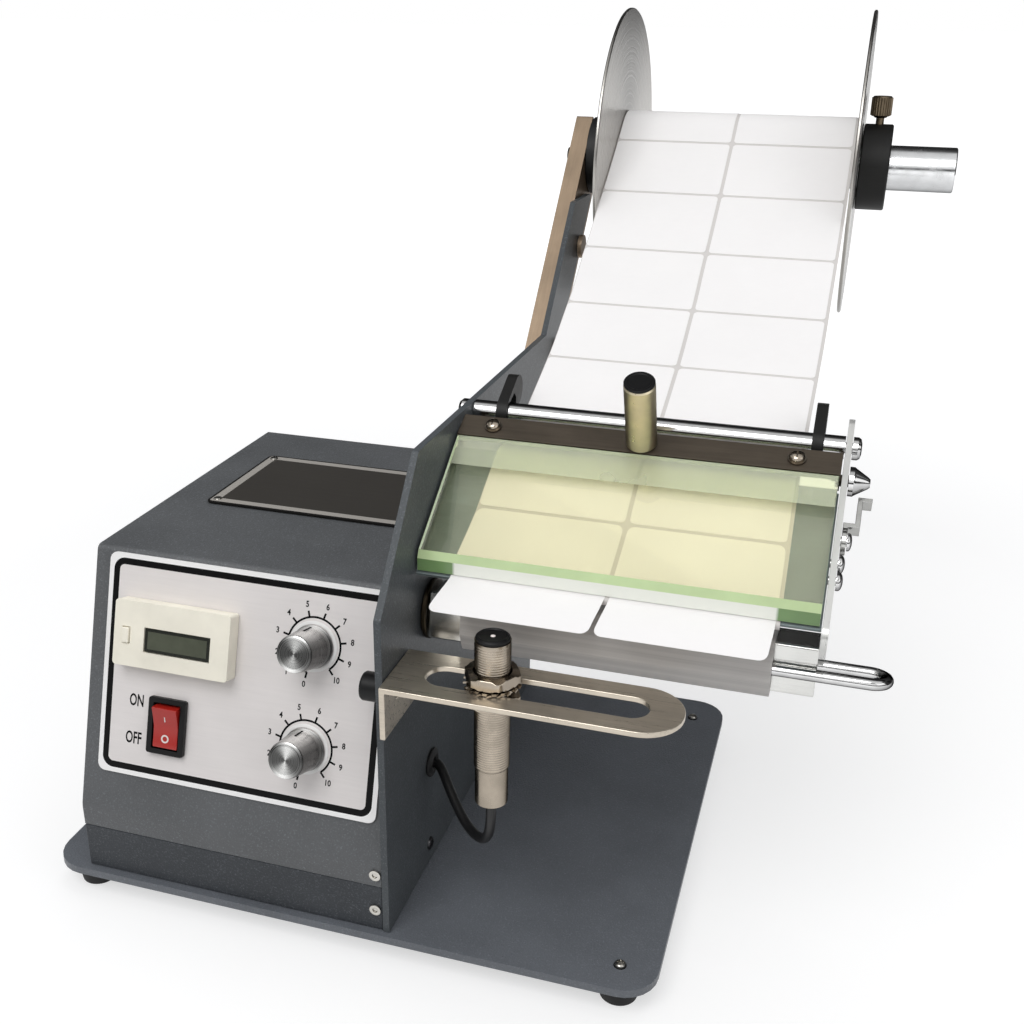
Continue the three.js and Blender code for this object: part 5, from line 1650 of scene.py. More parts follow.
@dataclass
class ControlPanel(Assembly):
    """Printed sheet on the box's slope, with the counter, the switch and the dials."""

    left: float = -117.2
    right: float = -6.0
    top: float = -1.4
    bottom: float = -83.693
    face: float = 1.1
    ink: float = 0.04
    dial_x: float = -34.7
    dials: dict[str, float] = field(default_factory=lambda: {"length": -24.607, "speed": -61.597})
    ring_radius: float = 10.0
    ring_shift: Pair = (0.3, 0.45)
    washer: Pair = (7.9, 9.1)
    tick: float = 2.3
    number_radius: float = 14.6
    number_height: float = 3.0
    numbers: int = 11
    first_angle: float = 259.0
    step_angle: float = -30.9
    stroke: float = 0.72
    words: dict[str, Pair] = field(
        default_factory=lambda: {"ON": (-102.6, -55.3), "OFF": (-103.0, -69.5)})
    word_height: float = 6.3
    window: Place = (-84.25, -30.6, 7.0)
    counter_sides: Pair = (-109.4, -64.0)
    side_step: float = 1.0
    opening_x: Pair = (-98.3, -71.2)
    opening_y: Pair = (-37.0, -23.2)
    opening_right: float = -72.0
    opening_top: float = -24.063
    top_step: float = 2.0
    opening_foot: float = -36.063
    foot_step: float = 0.9
    edge_reach: float = 0.8
    switch_place: Place = (-88.9, -62.471, 2.0)
    switch_tilt: float = math.radians(9)
    rocker_half: float = 7.8
    rocker_width: float = 5.0
    rocker_height: float = 2.4
    rocker_depth: float = 7.0
    knob: Profile = (
        (3.3, 1.4), (7.6, 1.4), (7.75, 1.9), (7.75, 2.6), (7.45, 2.9), (6.62, 16.1), (6.35, 16.65),
        (5.75, 16.95), (4.8, 16.92), (0.0, 16.85), (0.0, 10.7), (3.3, 10.7), (3.3, 1.4))

    def build(self) -> None:
        """Builds the sheet and what is on it."""
        self.sheet()
        self.scales()
        self.counter()
        self.switch()
        self.knobs()

    def sheet(self) -> None:
        """Builds the silver sheet with its printed outline."""
        middle = Vector(((self.left + self.right) / 2, (self.top + self.bottom) / 2, self.face))
        half = ((self.right - self.left) / 2 * MM, (self.top - self.bottom) / 2 * MM, 0.0)
        finish = PrintedSheet("panel_print", (233, 228, 226), 0.34, centre=tuple(self.bench.panel @ middle),
                              tilt=(PANEL_TURN, 0.0, 0.0), half=half, corner=0.0062,
                              inset=0.0018, metallic=0.08)
        self.soften("control_panel", finish, "panel", 0.0)

    def scales(self) -> None:
        """Prints the dials' rings, ticks and numbers, and the switch's two words."""
        print_ = Shape()
        washers = Shape()
        low, high = self.face, self.face + self.ink
        side = self.stroke / 2
        for dial_y in self.dials.values():
            washers.plus(ring(*self.washer, low, low + 0.3).soften(0.12).at(self.dial_x, dial_y))
            x, y = self.dial_x + self.ring_shift[0], dial_y + self.ring_shift[1]
            print_.plus(arc_bar(self.ring_radius - side, self.ring_radius + side, low, high,
                                math.radians(self.first_angle),
                                math.radians(self.step_angle * (self.numbers - 1))).at(x, y))
            for i in range(self.numbers):
                angle = math.radians(self.first_angle + self.step_angle * i)
                spoke = Matrix.Translation((x, y, 0)) @ Matrix.Rotation(angle, 4, "Z")
                print_.plus(Shape.block((self.ring_radius, -side, low),
                                        (self.ring_radius + self.tick, side, high)).moved(spoke))
                print_.plus(Shape.lettering(str(i), self.number_height, self.ink, 0.85, 0.08).at(
                    x + self.number_radius * math.cos(angle), y + self.number_radius * math.sin(angle), low))
        self.fit(washers, "dial_washers", DIAL_WHITE, "base", "ivory", place=self.bench.panel)
        for word, (x, y) in self.words.items():
            print_.plus(Shape.lettering(word, self.word_height, self.ink, 0.6, 0.12).at(x, y, self.face))
        self.fit(print_, "panel_scales", INK, "base", "black_plastic", place=self.bench.panel)

    def counter(self) -> None:
        """Builds the counter's body, window and button."""
        self.soften("counter_body", IVORY, "ivory", 0.7, segments=3, rule=self.narrow,
                    place=self.bench.panel)
        window = self.bench.panel @ Vector(self.window)
        glass = CountingWindow("counter_glass", (84, 88, 74), 0.16, centre=tuple(window),
                               tilt=(PANEL_TURN, 0.0, 0.0), half=(0.0129, 0.0043, 0.0))
        self.soften("counter_window", glass, "lcd", 0.1, segments=1, rule=self.narrow,
                    place=self.bench.panel)
        self.soften("counter_reset", IVORY, "ivory", 0.35)

    def narrow(self, corner: Vector) -> Vector:
        """Draws the counter and its opening in to the height and width that they show.

        Args:
            corner: One corner, in the panel's frame.

        Returns:
            Its new place.
        """
        step = Vector((self.side_step, 0, 0))
        if corner.x < self.counter_sides[0]:
            corner = corner + step
        elif corner.x > self.counter_sides[1]:
            corner = corner - step
        across = self.opening_x[0] < corner.x < self.opening_x[1]
        if across and self.opening_y[0] < corner.y < self.opening_y[1]:
            if abs(corner.y - self.opening_top) < self.edge_reach:
                corner = corner - Vector((0, self.top_step, 0))
            elif abs(corner.y - self.opening_foot) < self.edge_reach:
                corner = corner + Vector((0, self.foot_step, 0))
            if abs(corner.x - self.opening_right) < self.edge_reach:
                corner = corner + step
        return corner

    def switch(self) -> None:
        """Builds the switch's frame and its red rocker with its two marks."""
        self.soften("switch_bezel", BLACK, "black_plastic", 0.35)
        lean = self.switch_tilt
        place = (self.bench.panel @ Matrix.Translation(self.switch_place) @ Matrix.Rotation(lean, 4, "X"))
        half, width, high = self.rocker_half, self.rocker_width, self.rocker_height
        dip = high - half * math.tan(lean)
        steps = 8
        crest = [(-half + half * 2 * i / steps) for i in range(steps + 1)]
        outline = [(y, dip + (high - dip) * abs(y / half) ** 1.25) for y in crest]
        outline += [(half * 0.94, -self.rocker_depth), (-half * 0.94, -self.rocker_depth)]
        onto = Matrix(((0, 0, 1, 0), (1, 0, 0, 0), (0, 1, 0, 0), (0, 0, 0, 1)))
        rocker = Shape.slab(outline, -width, width).moved(onto).soften(0.35)
        self.fit(rocker, "rocker_cap", RED, "rocker", "red", ["power_rocker"], smooth=40.0, place=place)
        marks = ring(0.95, 1.55, 0.0, 0.08, 32).moved(
            Matrix.Translation((0, -half * 0.55, dip + (high - dip) * 0.5)) @ Matrix.Rotation(-lean, 4, "X"))
        marks.plus(Shape.block((-0.2, -1.0, 0.0), (0.2, 1.0, 0.08)).moved(
            Matrix.Translation((0, half * 0.42, dip + (high - dip) * 0.36)) @ Matrix.Rotation(lean, 4, "X")))
        self.fit(marks, "rocker_marks", SWITCH_PRINT, "rocker", "ivory", place=place)

    def knobs(self) -> None:
        """Builds the two spun knobs, each with its pointer, and the parts behind them."""
        for use, y in self.dials.items():
            centre = self.bench.panel @ Vector((self.dial_x, y, 17.0))
            # The knob's colour is mostly a painted glint: bright wedges by angle over a near-black tone.
            finish = TurnedMetal(f"{use}_knob_metal_painted_glint", (236, 236, 234), 0.27, centre=tuple(centre),
                                 tilt=(PANEL_TURN, 0.0, 0.0), scale=2600.0, fan_angle=1.45,
                                 fan_share=0.88, fan_power=2.4, dark=0.08)
            knob = Shape.turned(self.knob, 72).at(self.dial_x, y)
            self.fit(knob, f"{use}_knob_spun", finish, f"{use}_dial", "knob", [f"{use}_knob"],
                     place=self.bench.panel)
            mark = Shape.block((-0.35, 0.0, 0.0), (0.35, 0.25, 6.0)).moved(
                Matrix.Translation((self.dial_x, y + 7.2, 4.2)) @ Matrix.Rotation(math.radians(3.0), 4, "X"))
            self.fit(mark, f"{use}_knob_mark", INK, f"{use}_dial", "black_plastic", place=self.bench.panel)
            self.soften(f"{use}_potentiometer", ZINC, "steel", 0.3)


@dataclass
class SidePlate(Assembly):
    """Upright plate that carries the machine's right half."""

    screw_place: Place = (0.0, 45.0, 8.3)
    screw: Pair = (2.6, 1.2)
    bush: Profile = (
        (5.3, -5.5), (8.0, -5.5), (8.0, 0.3), (10.6, 0.3), (11.0, 0.7), (11.0, 1.7), (10.6, 2.1),
        (5.6, 2.1), (5.3, 1.8), (5.3, -5.5))

    def build(self) -> None:
        """Builds the plate, its grommet, its bush and the screws in it."""
        self.soften("side_plate", HAMMERED_GLOSS, "hammered", 0.45)
        self.soften("cable_grommet", RUBBER, "foot_rubber", 0.25)
        bush = Shape.turned(self.bush, 64).lying(0, *TAKE_UP_AXIS)
        self.fit(bush, "bush_turned", DARK_BUSH, "base", "brass", ["shaft_bushing"])
        screw = pan_head(*self.screw).lying(*self.screw_place)
        self.fit(screw, "plate_screw", DARK_SCREW, "base", "steel")


@dataclass
class Reel(Assembly):
    """Arm, spindle, tube, two discs, the roll and the clamp that holds the right disc."""

    y: float = REEL_AXIS[0]
    z: float = REEL_AXIS[1]
    tube: Profile = (
        (8.0, 8.3), (9.6, 8.3), (10.0, 8.7), (10.0, 165.9), (9.6, 166.4), (8.2, 166.4), (8.0, 166.2),
        (8.0, 8.3))
    bore: float = 10.3
    disc_radius: float = 67.1
    disc_thickness: float = 1.5
    left_face: float = 13.9
    right_face: float = 122.5
    collar_left: float = 124.3
    roll_left: float = 14.2
    roll_right: float = 120.6
    roll_radius: float = 21.0
    roll_start: float = 10.8
    roll_turns: int = 14
    collar_radius: float = 19.1
    collar_width: float = 13.0
    thumb_x: float = 130.8
    thumb: Profile = (
        (0, 10.3), (1.8, 10.3), (1.8, 21.7), (2.6, 21.9), (3.4, 22.6), (4.0, 22.6), (4.35, 23.0),
        (4.35, 30.6), (3.9, 31.2), (0, 31.2))
    ridges: int = 24
    ridge_radius: float = 0.42
    ridge_reach: float = 4.28
    ridge_ends: Pair = (23.0, 30.6)
    arm_back: float = -10.95
    head_share: float = 0.5

    def on_axis(self, shape: Shape) -> Shape:
        """Lays a shape that was turned round Z on the reel's axis."""
        return shape.lying(0, self.y, self.z)

    def disc_finish(self, name: str, face: float) -> TurnedMetal:
        """Gives the satin finish of one disc, centred on the reel's axis, with a painted glint in its
        colour.

        Args:
            name: The material's name.
            face: The place of the disc's face along the axis.

        Returns:
            The finish.
        """
        centre = self.bench.machine @ Vector((face, self.y, self.z))
        # Painted highlight: a bow-tie glint by angle round the axis.
        return TurnedMetal(name, (176, 173, 168), 0.28, centre=tuple(centre), tilt=(0.0, TURN / 4, 0.0),
                           scale=900.0, fan_angle=TURN / 4, fan_share=0.8, fan_power=1.0, dark=0.42)

    def build(self) -> None:
        """Builds the arm and everything on it."""
        self.soften("reel_arm", WARM_ARM, "warm_steel", 0.5)
        self.soften("reel_spindle", BLACK_SATIN, "black_plastic", 0.4, rule=self.shrink_tail,
                    place=self.bench.machine)
        self.fit(self.on_axis(Shape.turned(self.tube, 72)), "tube_turned", TUBE, "reel", "knob",
                 ["reel_tube"])
        self.discs()
        self.roll()
        self.clamp()

    def shrink_tail(self, corner: Vector) -> Vector:
        """Makes the spindle's head behind the arm smaller.

        Args:
            corner: One corner of the spindle.

        Returns:
            Its new place.
        """
        if corner.x < self.arm_back:
            return Vector((corner.x, self.y + (corner.y - self.y) * self.head_share,
                           self.z + (corner.z - self.z) * self.head_share))
        return corner

    def discs(self) -> None:
        """Builds the two discs with rounded rims."""
        r, t, f, b = self.disc_radius, self.disc_thickness, self.left_face, self.bore
        left = Shape.turned([(b, 8.9), (13.6, 8.9), (14.0, 9.3), (14.0, f - t), (r - 0.4, f - t),
                             (r, f - t + 0.4), (r, f - 0.4), (r - 0.4, f), (b, f), (b, 8.9)], 128)
        self.fit(self.on_axis(left), "left_disc_turned", self.disc_finish("left_disc_metal", f), "reel",
                 "disc", ["disc_left"])
        g = self.right_face
        right = Shape.turned([(b, g), (r - 0.4, g), (r, g + 0.4), (r, g + t - 0.4), (r - 0.4, g + t),
                              (b, g + t), (b, g)], 128)
        self.fit(self.on_axis(right), "right_disc_turned", self.disc_finish("right_disc_metal", g),
                 "disc_clamp", "disc", ["disc_right"])

    def roll(self) -> None:
        """Builds the roll of labels, with its turns showing at the ends."""
        left, right, start = self.roll_left, self.roll_right, self.roll_start
        radii = [start + (self.roll_radius - start) * i / self.roll_turns for i in range(self.roll_turns)]
        profile = [(self.bore, left)]
        for radius in radii:
            profile += [(radius, left), (radius + 0.25, left + 0.18)]
        profile += [(self.roll_radius, left), (self.roll_radius, right)]
        for radius in reversed(radii):
            profile += [(radius + 0.25, right - 0.18), (radius, right)]
        profile += [(self.bore, right), (self.bore, left)]
        self.fit(self.on_axis(Shape.turned(profile, 96)), "roll_of_labels", LINER, "reel", "paper",
                 ["label_roll"])

    def clamp(self) -> None:
        """Builds the black collar and its knurled thumb screw."""
        low, r, b = self.collar_left, self.collar_radius, self.bore
        high = low + self.collar_width
        collar = Shape.turned([(b, low), (r - 0.6, low), (r, low + 0.6), (r, high - 0.6),
                               (r - 0.6, high), (b + 0.7, high), (b, high - 0.7), (b, low)], 80)
        self.fit(self.on_axis(collar), "collar_turned", BLACK_SATIN, "disc_clamp", "black_plastic",
                 ["disc_collar"])
        screw = Shape.turned(self.thumb, 40)
        for i in range(self.ridges):
            angle = TURN * i / self.ridges
            x, y = self.ridge_reach * math.cos(angle), self.ridge_reach * math.sin(angle)
            foot, top = ((x, y, z) for z in self.ridge_ends)
            screw.plus(Shape.drum(self.ridge_radius, foot, top, 8))
        finish = PlatedMetal("thumb_screw_brown", (134, 120, 100), 0.34, dark=0.7)
        self.fit(screw.at(self.thumb_x, self.y, self.z), "thumb_screw", finish, "clamp_screw", "warm_steel",
                 ["collar_screw"])


@dataclass
class WebPath:
    """The line of the web's upper face, seen along X, from behind the roll to its end."""

    reel: Pair = REEL_AXIS
    rod: Pair = ROD_AXIS
    edge: Pair = STAGE_EDGE
    winding: Pair = TAKE_UP_AXIS
    roll_gap: float = 21.7
    rod_gap: float = 4.3
    slack: float = math.radians(9.5)
    wrap: float = 62.3
    stage_length: float = 53.0
    rise: float = 0.7
    nose: float = 0.9
    nose_wrap: float = math.radians(150)
    end_turn: float = math.radians(12)
    end_reach: float = 16.8
    label_reach: float = 17.5
    label_droop: float = math.radians(17)
    label_bow: float = 0.08
    wrap_steps: int = 36
    hang_steps: int = 40
    rod_steps: int = 8
    stage_steps: int = 6
    nose_steps: int = 12
    end_steps: int = 5
    label_steps: int = 8

    @staticmethod
    def along(angle: float) -> Vector:
        """Gives the direction of a slope."""
        return Vector((math.cos(angle), math.sin(angle)))

    @staticmethod
    def upright(angle: float) -> Vector:
        """Gives the direction square to a slope."""
        return Vector((-math.sin(angle), math.cos(angle)))

    def on_stage(self, y: float, z: float) -> Vector:
        """Gives a point of the stage's frame in the machine's Y and Z."""
        cos, sin = math.cos(STAGE_TILT), math.sin(STAGE_TILT)
        return Vector((self.edge[0] + y * cos - z * sin, self.edge[1] + y * sin + z * cos))

    def over_stage(self) -> tuple[list[Vector], int]:
        """Gives the line from behind the roll to the peeling edge.

        Returns:
            The points, and the place among them of the one where the web leaves the roll.
        """
        reel, rod = Vector(self.reel), Vector(self.rod)
        between = reel - rod
        slope = math.atan2(between.y, between.x) + math.asin((self.roll_gap + self.rod_gap) / between.length)
        on_roll, on_rod = slope + self.slack, slope - self.slack
        points = []
        for k in range(self.wrap_steps):
            angle = on_roll - self.wrap / self.roll_gap * (1 - k / self.wrap_steps)
            points.append(reel + self.upright(angle) * self.roll_gap)
        start = reel + self.upright(on_roll) * self.roll_gap
        end = rod - self.upright(on_rod) * self.rod_gap
        gap, first, last = end - start, self.along(on_roll), self.along(on_rod)
        reach = (gap.x * last.y - gap.y * last.x) / (first.x * last.y - first.y * last.x)
        corner = start + first * reach
        for k in range(self.hang_steps):
            t = k / self.hang_steps
            points.append(start * (1 - t) ** 2 + corner * 2 * t * (1 - t) + end * t * t)
        stage_end = self.on_stage(self.stage_length, self.rise)
        leave = math.atan2(rod.y - self.rod_gap - stage_end.y, rod.x - stage_end.x)
        for k in range(self.rod_steps + 1):
            angle = on_rod + (leave - on_rod) * k / self.rod_steps
            points.append(rod - self.upright(angle) * self.rod_gap)
        for k in range(self.stage_steps + 1):
            points.append(self.on_stage(self.stage_length * (1 - k / self.stage_steps), self.rise))
        return points, self.wrap_steps

    def liner(self) -> tuple[list[Vector], int]:
        """Gives the whole line of the liner, from the roll down to the winding.

        Returns:
            The points and the number of the roll point.
        """
        points, start = self.over_stage()
        middle, reach = self.on_stage(0, -self.nose), self.nose + self.rise
        for k in range(1, self.nose_steps + 1):
            angle = TURN / 4 + STAGE_TILT + self.nose_wrap * k / self.nose_steps
            points.append(middle + self.along(angle) * reach)
        end = Vector(self.winding) + self.upright(self.end_turn) * self.end_reach
        last = points[-1]
        points += [last.lerp(end, k / self.end_steps) for k in range(1, self.end_steps + 1)]
        return points, start

    def peeled(self) -> tuple[list[Vector], int]:
        """Gives the line of the front labels, which leave the liner and stand out.

        Returns:
            The points and the number of the roll point.
        """
        points, start = self.over_stage()
        edge = self.on_stage(0, self.rise)
        for k in range(1, self.label_steps + 1):
            share = k / self.label_steps
            points.append(Vector((
                edge.x - self.label_reach * share * math.cos(self.label_droop),
                edge.y - self.label_reach * share * math.sin(self.label_droop)
                + self.label_reach * self.label_bow * math.sin(share * math.pi))))
        return points, start


@dataclass
class Line:
    """A line in Y and Z with the way along it measured from one of its points."""

    points: list[Vector]
    zero: int

    def __post_init__(self) -> None:
        """Measures the line and finds the direction square to it at each point."""
        steps = [(b - a).length for a, b in zip(self.points, self.points[1:])]
        total = [0.0]
        for step in steps:
            total.append(total[-1] + step)
        self.ways = [way - total[self.zero] for way in total]
        normals = []
        for a, b in zip(self.points, self.points[1:]):
            ahead = (b - a).normalized()
            normals.append(Vector((ahead.y, -ahead.x)))
        joined = [(a + b).normalized() for a, b in zip(normals, normals[1:])]
        self.normals = [normals[0], *joined, normals[-1]]

    def at(self, way: float) -> tuple[Vector, Vector]:
        """Gives the point and the outward direction at a way along the line.

        Args:
            way: Millimetres from the zero point.

        Returns:
            The point and the direction.
        """
        for i in range(len(self.ways) - 1):
            if way <= self.ways[i + 1] or i == len(self.ways) - 2:
                share = (way - self.ways[i]) / (self.ways[i + 1] - self.ways[i])
                share = max(-1.0, min(share, 2.0))
                return (self.points[i].lerp(self.points[i + 1], share),
                        self.normals[i].lerp(self.normals[i + 1], min(max(share, 0.0), 1.0)).normalized())
        raise ValueError("the line has no parts")


@dataclass
class LabelWeb(Assembly):
    """Backing strip with two columns of labels, from the roll to the take-up."""

    path: WebPath = field(default_factory=WebPath)
    width: float = 104.6
    column_gap: float = 1.5
    column_shift: float = -0.7
    row_gap: float = 1.25
    margin: float = 1.3
    corner: float = 1.6
    front_corner: float = 2.6
    label: float = 0.16
    liner: float = 0.16
    tucked: float = 8.0
    rows: tuple[float, ...] = (-61.0, -24.0, 12.4, 47.3, 86.2, 124.2, 161.2, 206.6, 255.4)
    left_edge: tuple[Pair, ...] = (
        (-61.0, 14.1), (60.0, 14.1), (88.0, 14.4), (124.0, 15.6), (161.0, 16.4), (208.0, 16.6),
        (252.0, 15.2), (287.0, 12.6), (305.0, 9.6))
    right_edge: tuple[Pair, ...] = (
        (-61.0, 121.8), (60.0, 121.8), (124.0, 121.5), (208.0, 120.7), (287.0, 121.4), (305.0, 120.6))

    @staticmethod
    def read(table: Sequence[Pair], way: float) -> float:
        """Reads a smooth value from a table of ways and values.

        Args:
            table: The ways and their values.
            way: The way to read at.

        Returns:
            The value.
        """
        if way <= table[0][0]:
            return table[0][1]
        for (start, first), (end, second) in zip(table, table[1:]):
            if way <= end:
                share = (way - start) / (end - start)
                share = share * share * (3 - 2 * share)
                return first + (second - first) * share
        return table[-1][1]

    def lay(self, line: Line, shape: Shape) -> Shape:
        """Bends a flat shape, X across and Y along, to follow the web.

        Args:
            line: The line to follow.
            shape: The flat shape.

        Returns:
            The bent shape.
        """
        def rule(corner: Vector) -> Vector:
            """Places one corner on the web.

            Args:
                corner: One corner of the flat shape.

            Returns:
                Its place in the machine's frame.
            """
            spot, up = line.at(corner.y)
            left, right = self.read(self.left_edge, corner.y), self.read(self.right_edge, corner.y)
            x = left + (right - left) * corner.x / self.width
            return Vector((x, spot.x + up.x * corner.z, spot.y + up.y * corner.z))
        return shape.bent(rule)

    def strip(self, line: Line, low: Point, high: Point, top: float, thickness: float,
              corner: float) -> Shape:
        """Makes one flat strip and lays it on the line.

        Args:
            line: The line to follow.
            low: Its lowest place across and along.
            high: Its highest place across and along.
            top: The height of its upper face over the line.
            thickness: Its thickness.
            corner: The rounding of its corners.

        Returns:
            The strip.
        """
        flat = Shape.slab([(low[0], low[1]), (high[0], low[1]), (high[0], high[1]), (low[0], high[1])],
                          top - thickness, top, corner, 4)
        cuts = [way for way in line.ways if low[1] + 0.05 < way < high[1] - 0.05]
        return self.lay(line, flat.banded(cuts))

    def build(self) -> None:
        """Builds the liner, the labels on it and the two that stand out."""
        whole = Line(*self.path.liner())
        front = Line(*self.path.peeled())
        below = -self.label
        turn = whole.ways[min(range(len(whole.points)), key=lambda i: whole.points[i].x)]
        backing = self.strip(whole, (0.0, self.rows[0]), (self.width, turn), below, self.liner, 0.0)
        backing.plus(self.strip(whole, (self.tucked, turn), (self.width, whole.ways[-1]), below,
                                self.liner, 0.0))
        self.fit(backing, "web_liner", LINER, "base", "paper", ["label_web"], smooth=50.0)
        labels = Shape()
        half = (self.width - self.column_gap) / 2
        columns = ((0.3, half + self.column_shift),
                   (half + self.column_shift + self.column_gap, self.width - self.margin))
        for start, end in zip(self.rows, self.rows[1:]):
            for left, right in columns:
                labels.plus(self.strip(whole, (left, start + self.row_gap / 2),
                                       (right, end - self.row_gap / 2), 0.0, self.label, self.corner))
        self.fit(labels, "web_labels", LABEL, "base", "paper", smooth=50.0)
        peeled = Shape()
        reach = front.ways[-1]
        for left, right in columns:
            peeled.plus(self.strip(front, (left, self.rows[-1] + self.row_gap / 2), (right, reach), 0.0,
                                   self.label, self.front_corner))
        self.fit(peeled, "front_labels", LABEL, "base", "paper", smooth=50.0)


@dataclass
class Stage(Assembly):
    """Bed under the web, and the bright end plate with what is on it."""

    end_outside: float = 136.2
    screw_y: Pair = (22.3, 28.9)
    screw_z: float = -6.0
    screw_foot: float = 132.4
    screw: Pair = (3.1, 2.1)
    shank: float = 1.4
    latch_y: float = 38.0
    latch_foot: float = 134.5
    latch_width: float = 1.9
    latch_screw: Pair = (3.0, 1.6)
    latch_shank: float = 1.5

    def build(self) -> None:
        """Builds the bed, the end plate and its hardware."""
        self.soften("stage_plate", DECK, "steel", 0.3)
        self.soften("end_plate", SATIN_END, "chrome", 0.45)
        seat = self.end_outside + GAP
        for name, y in zip(("stage_screw_lower", "stage_screw_upper"), self.screw_y):
            self.fasten(name, self.screw_foot, seat, y, self.shank, self.screw)
        self.soften("latch_lever", LEVER, "chrome", 0.4, segments=3)
        self.fasten("latch_screw", self.latch_foot, seat + self.latch_width, self.latch_y, self.latch_shank,
                    self.latch_screw)

    def fasten(self, name: str, foot: float, seat: float, y: float, radius: float,
               head: Pair) -> None:
        """Puts a screw through the end plate.

        Args:
            name: The screw's CAD node.
            foot: Where its shank starts.
            seat: Where its head sits.
            y: Its place along the stage.
            radius: The shank's radius.
            head: The head's radius and height.
        """
        shank = Shape.drum(radius, (foot, y, self.screw_z), (seat + 0.1, y, self.screw_z), 20)
        shank.plus(pan_head(*head).lying(seat, y, self.screw_z))
        self.fit(shank, f"{name}_turned", CHROME, "base", "steel", [name], place=self.bench.stage)


@dataclass
class HoldDown(Assembly):
    """Clear slab on its pivoted bar, with its lifting post."""

    screw_x: Pair = (12.7, 119.0)
    screw_y: float = 5.2
    seat: float = 2.7
    post_x: float = 66.5
    post_y: float = 4.6
    post_radius: float = 5.4
    post_height: float = 28.0
    shank: Pair = (1.4, -2.8)
    washer: Place = (1.5, 3.1, 0.4)
    screw: Pair = (2.6, 2.0)
    cap_nut: Profile = (
        (2.3, 136.5), (5.0, 136.5), (5.0, 138.1), (4.6, 138.6), (2.1, 142.6), (1.4, 143.4), (0, 143.5),
        (0, 140.0), (2.3, 140.0), (2.3, 136.5))
    pivot: Place = (0.0, 84.0, 160.0)
    skin: float = 0.03
    # a pale strip on the slab's top left edge, a painted highlight
    left_bead: tuple[Point, Point] = ((1.0, 5.7, 6.2), (1.75, 55.0, 6.23))
    band: tuple[Point, Point] = ((1.2, 42.6, 6.21), (133.0, 55.2, 6.25))

    def build(self) -> None:
        """Builds the bar, the slab, the post and the screws."""
        self.soften("hold_down_bar", WARM_BAR, "warm_steel", 0.35)
        self.soften("cover_glass", GLASS, "glass", 0.25, segments=2)
        self.glass_edges()
        (radius, foot), (bore, rim, thick) = self.shank, self.washer
        for side, x in zip(("left", "right"), self.screw_x):
            screw = Shape.drum(radius, (0, 0, foot), (0, 0, self.seat), 20).plus(
                ring(bore, rim, self.seat, self.seat + thick, 32), pan_head(*self.screw, self.seat + thick))
            self.fit(screw.at(x, self.screw_y), f"bar_screw_{side}_turned", NICKEL, "hold_down", "nickel",
                     [f"bar_screw_{side}"], place=self.bench.bar)
        self.post()
        inner = self.bench.stage.inverted() @ self.bench.machine @ Vector(self.pivot)
        self.fit(Shape.turned(self.cap_nut, 32).lying(0, inner.y, inner.z), "cap_nut_turned", CHROME,
                 "hold_down", "chrome", ["pivot_cap_nut"], place=self.bench.stage)

    def glass_edges(self) -> None:
        """Lays a green skin on the slab's front and on its slope, and a pale skin round its rim with a bead
        on its left edge, painted highlight on the slab's edges.
        """
        ahead = Vector((0, -math.cos(STAGE_TILT), math.sin(STAGE_TILT)))
        skins = (
            ("slab_front", GLASS_FRONT, lambda n: n.dot(ahead) > 0.97),
            ("slab_slope", GLASS_SLOPE, lambda n: n.y < -0.2 and n.dot(ahead) <= 0.97),
            ("slab_rim", GLASS_RIM_HIGHLIGHT, lambda n: abs(n.x) > 0.3 or (n.y > 0.3 and n.z > -0.3)),
        )
        for name, finish, wanted in skins:
            shape = Shape.copied(self.bench.nodes["cover_glass"]).moved(self.bench.stage.inverted())
            shape.bm.normal_update()
            spare = [face for face in shape.bm.faces if not wanted(face.normal)]
            bmesh.ops.delete(shape.bm, geom=spare, context="FACES")
            bmesh.ops.solidify(shape.bm, geom=list(shape.bm.faces), thickness=-self.skin)
            # The rim skin and its left bead are painted highlight.
            if name == "slab_rim":
                shape.plus(Shape.block(*self.left_bead))
            self.fit(shape, name, finish, "hold_down", "glass", place=self.bench.stage)
        self.fit(Shape.block(*self.band).soften(0.01, 1), "slab_band", GLASS_BAND, "hold_down", "glass",
                 place=self.bench.stage)

    def post(self) -> None:
        """Builds the nickel post with its black top."""
        r, low = self.post_radius, self.seat
        high = low + self.post_height
        body = Shape.turned([(0, -0.3), (1.6, -0.3), (1.6, low), (r - 0.6, low), (r, low + 0.6),
                             (r, high - 1.7), (r - 0.5, high - 1.1), (0, high - 1.1)], 64)
        self.fit(body.at(self.post_x, self.post_y), "lift_post_turned", NICKEL_POST, "hold_down", "nickel",
                 ["lift_post"], place=self.bench.bar)
        plug = Shape.turned([(0, high - 1.05), (r - 0.35, high - 1.05), (r - 0.1, high - 0.8),
                             (r - 0.1, high - 0.35), (r - 0.45, high), (r - 1.3, high),
                             (r - 1.6, high - 0.25), (0, high - 0.25)], 64)
        self.fit(plug.at(self.post_x, self.post_y), "lift_post_plug", BLACK, "hold_down", "black_plastic",
                 place=self.bench.bar)


